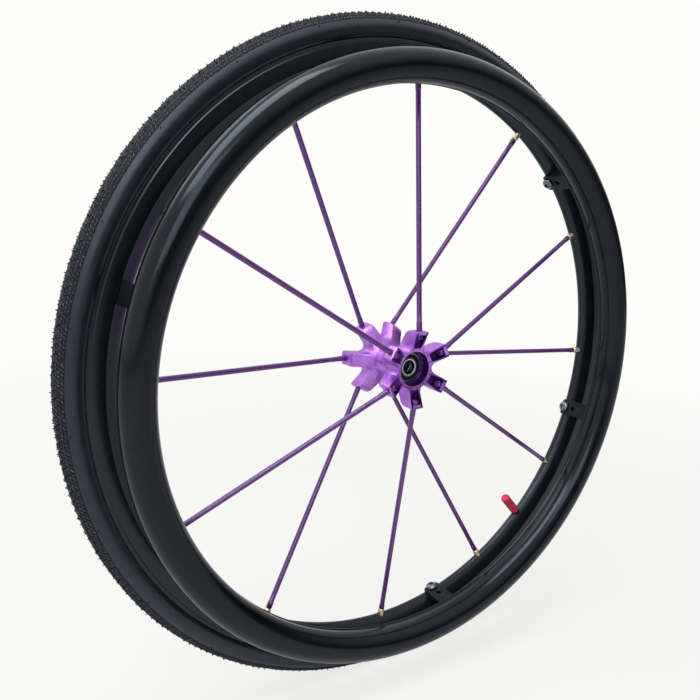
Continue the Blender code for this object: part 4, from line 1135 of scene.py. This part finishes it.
def make_floor():
    """A plain pale floor under the tyre."""
    made = Finish("floor_pale", roughness=0.8, Specular_IOR_Level=0.2)
    cloud = made.noise(1.3, 3.0)
    mat = made.done(made.mix(cloud, linear(240, 240, 240), linear(246, 246, 246)))
    path = made.node("ShaderNodeLightPath").outputs
    glow = made.node("ShaderNodeEmission", {"Color": ROOM_COLOR})
    away = made.node("ShaderNodeVectorMath", {0: made.coords}, operation="LENGTH")
    far = made.remap(away.outputs["Value"], *FLOOR_FADE, FLOOR_GLOW, 1.0)
    mirrored = made.math("MAXIMUM", path["Is Glossy Ray"], path["Is Transmission Ray"])
    seen = made.math("MAXIMUM", path["Is Camera Ray"],
                     made.math("MULTIPLY", mirrored, FLOOR_SHEEN))
    blend = made.node("ShaderNodeMixShader", {0: made.math("MULTIPLY", seen, far),
                                              1: made.shader.outputs[0],
                                              2: glow.outputs[0]})
    made.tree.links.new(blend.outputs[0], made.tree.nodes["Material Output"].inputs["Surface"])
    size, level = FLOOR_SIZE, -TYRE_RADIUS
    mesh = mesh_from([(-size, -size, level), (size, -size, level), (size, size, level),
                      (-size, size, level)], [(0, 1, 2, 3)])
    mesh.materials.append(mat)
    floor = bpy.data.objects.new("floor", mesh)
    bpy.context.scene.collection.objects.link(floor)


def make_world():
    """White to the camera, a room in reflections, soft light elsewhere."""
    world = bpy.data.worlds.new("studio")
    bpy.context.scene.world = world
    world.use_nodes = True
    tree = world.node_tree
    tree.nodes.clear()
    path = add_node(tree, "ShaderNodeLightPath").outputs
    seen = add_math(tree, "MAXIMUM", path["Is Camera Ray"], path["Is Glossy Ray"])
    seen = add_math(tree, "MAXIMUM", seen, path["Is Transmission Ray"])
    place = add_node(tree, "ShaderNodeTexCoord").outputs["Generated"]
    level = 0.0
    for direction, low, high, bright in ROOM_SIDES:
        facing = add_node(tree, "ShaderNodeVectorMath", {0: place, 1: direction},
                          operation="DOT_PRODUCT").outputs["Value"]
        level = add_math(tree, "ADD", add_range(tree, facing, low, high, 0.0, bright), level,
                         clamp=True)
    level = add_math(tree, "MAXIMUM", level, path["Is Camera Ray"])
    shown = add_node(tree, "ShaderNodeBackground", {"Color": ROOM_COLOR, "Strength": level})
    soft = add_node(tree, "ShaderNodeBackground", {"Color": SOFT_COLOR, "Strength": SOFT_LEVEL})
    mix = add_node(tree, "ShaderNodeMixShader", {0: seen, 1: soft.outputs[0],
                                                 2: shown.outputs[0]})
    add_node(tree, "ShaderNodeOutputWorld", {"Surface": mix.outputs[0]})


def make_lamp(name, place, size, power):
    """A soft rectangular lamp that looks at the wheel's centre."""
    data = bpy.data.lights.new(name, "AREA")
    data.shape = "RECTANGLE"
    data.size, data.size_y = size
    data.energy = power
    data.color = LAMP_COLOR
    lamp = bpy.data.objects.new(name, data)
    lamp.location = place
    lamp.rotation_euler = (-Vector(place)).to_track_quat("-Z", "Y").to_euler()
    bpy.context.scene.collection.objects.link(lamp)


def make_camera():
    """The photograph's point of view."""
    data = bpy.data.cameras.new("camera")
    data.sensor_width = 36.0
    data.lens = 34.836
    data.clip_start = 0.01
    camera = bpy.data.objects.new("camera", data)
    camera.location = (-0.37184, -0.48491, 0.12025)
    camera.rotation_euler = [math.radians(a) for a in (79.7401, -3.2018, -32.7319)]
    bpy.context.scene.collection.objects.link(camera)
    bpy.context.scene.camera = camera


make_floor()
make_world()
make_lamp("key", (-0.92, -0.36, 2.2), (1.3, 2.2), 50.0)
make_lamp("back", (-0.93, 1.45, 1.65), (1.2, 1.2), 8.0)
make_lamp("front", (-1.15, -1.75, 1.15), (1.2, 1.2), 10.0)
make_camera()
bpy.context.scene.view_settings.view_transform = "Standard"
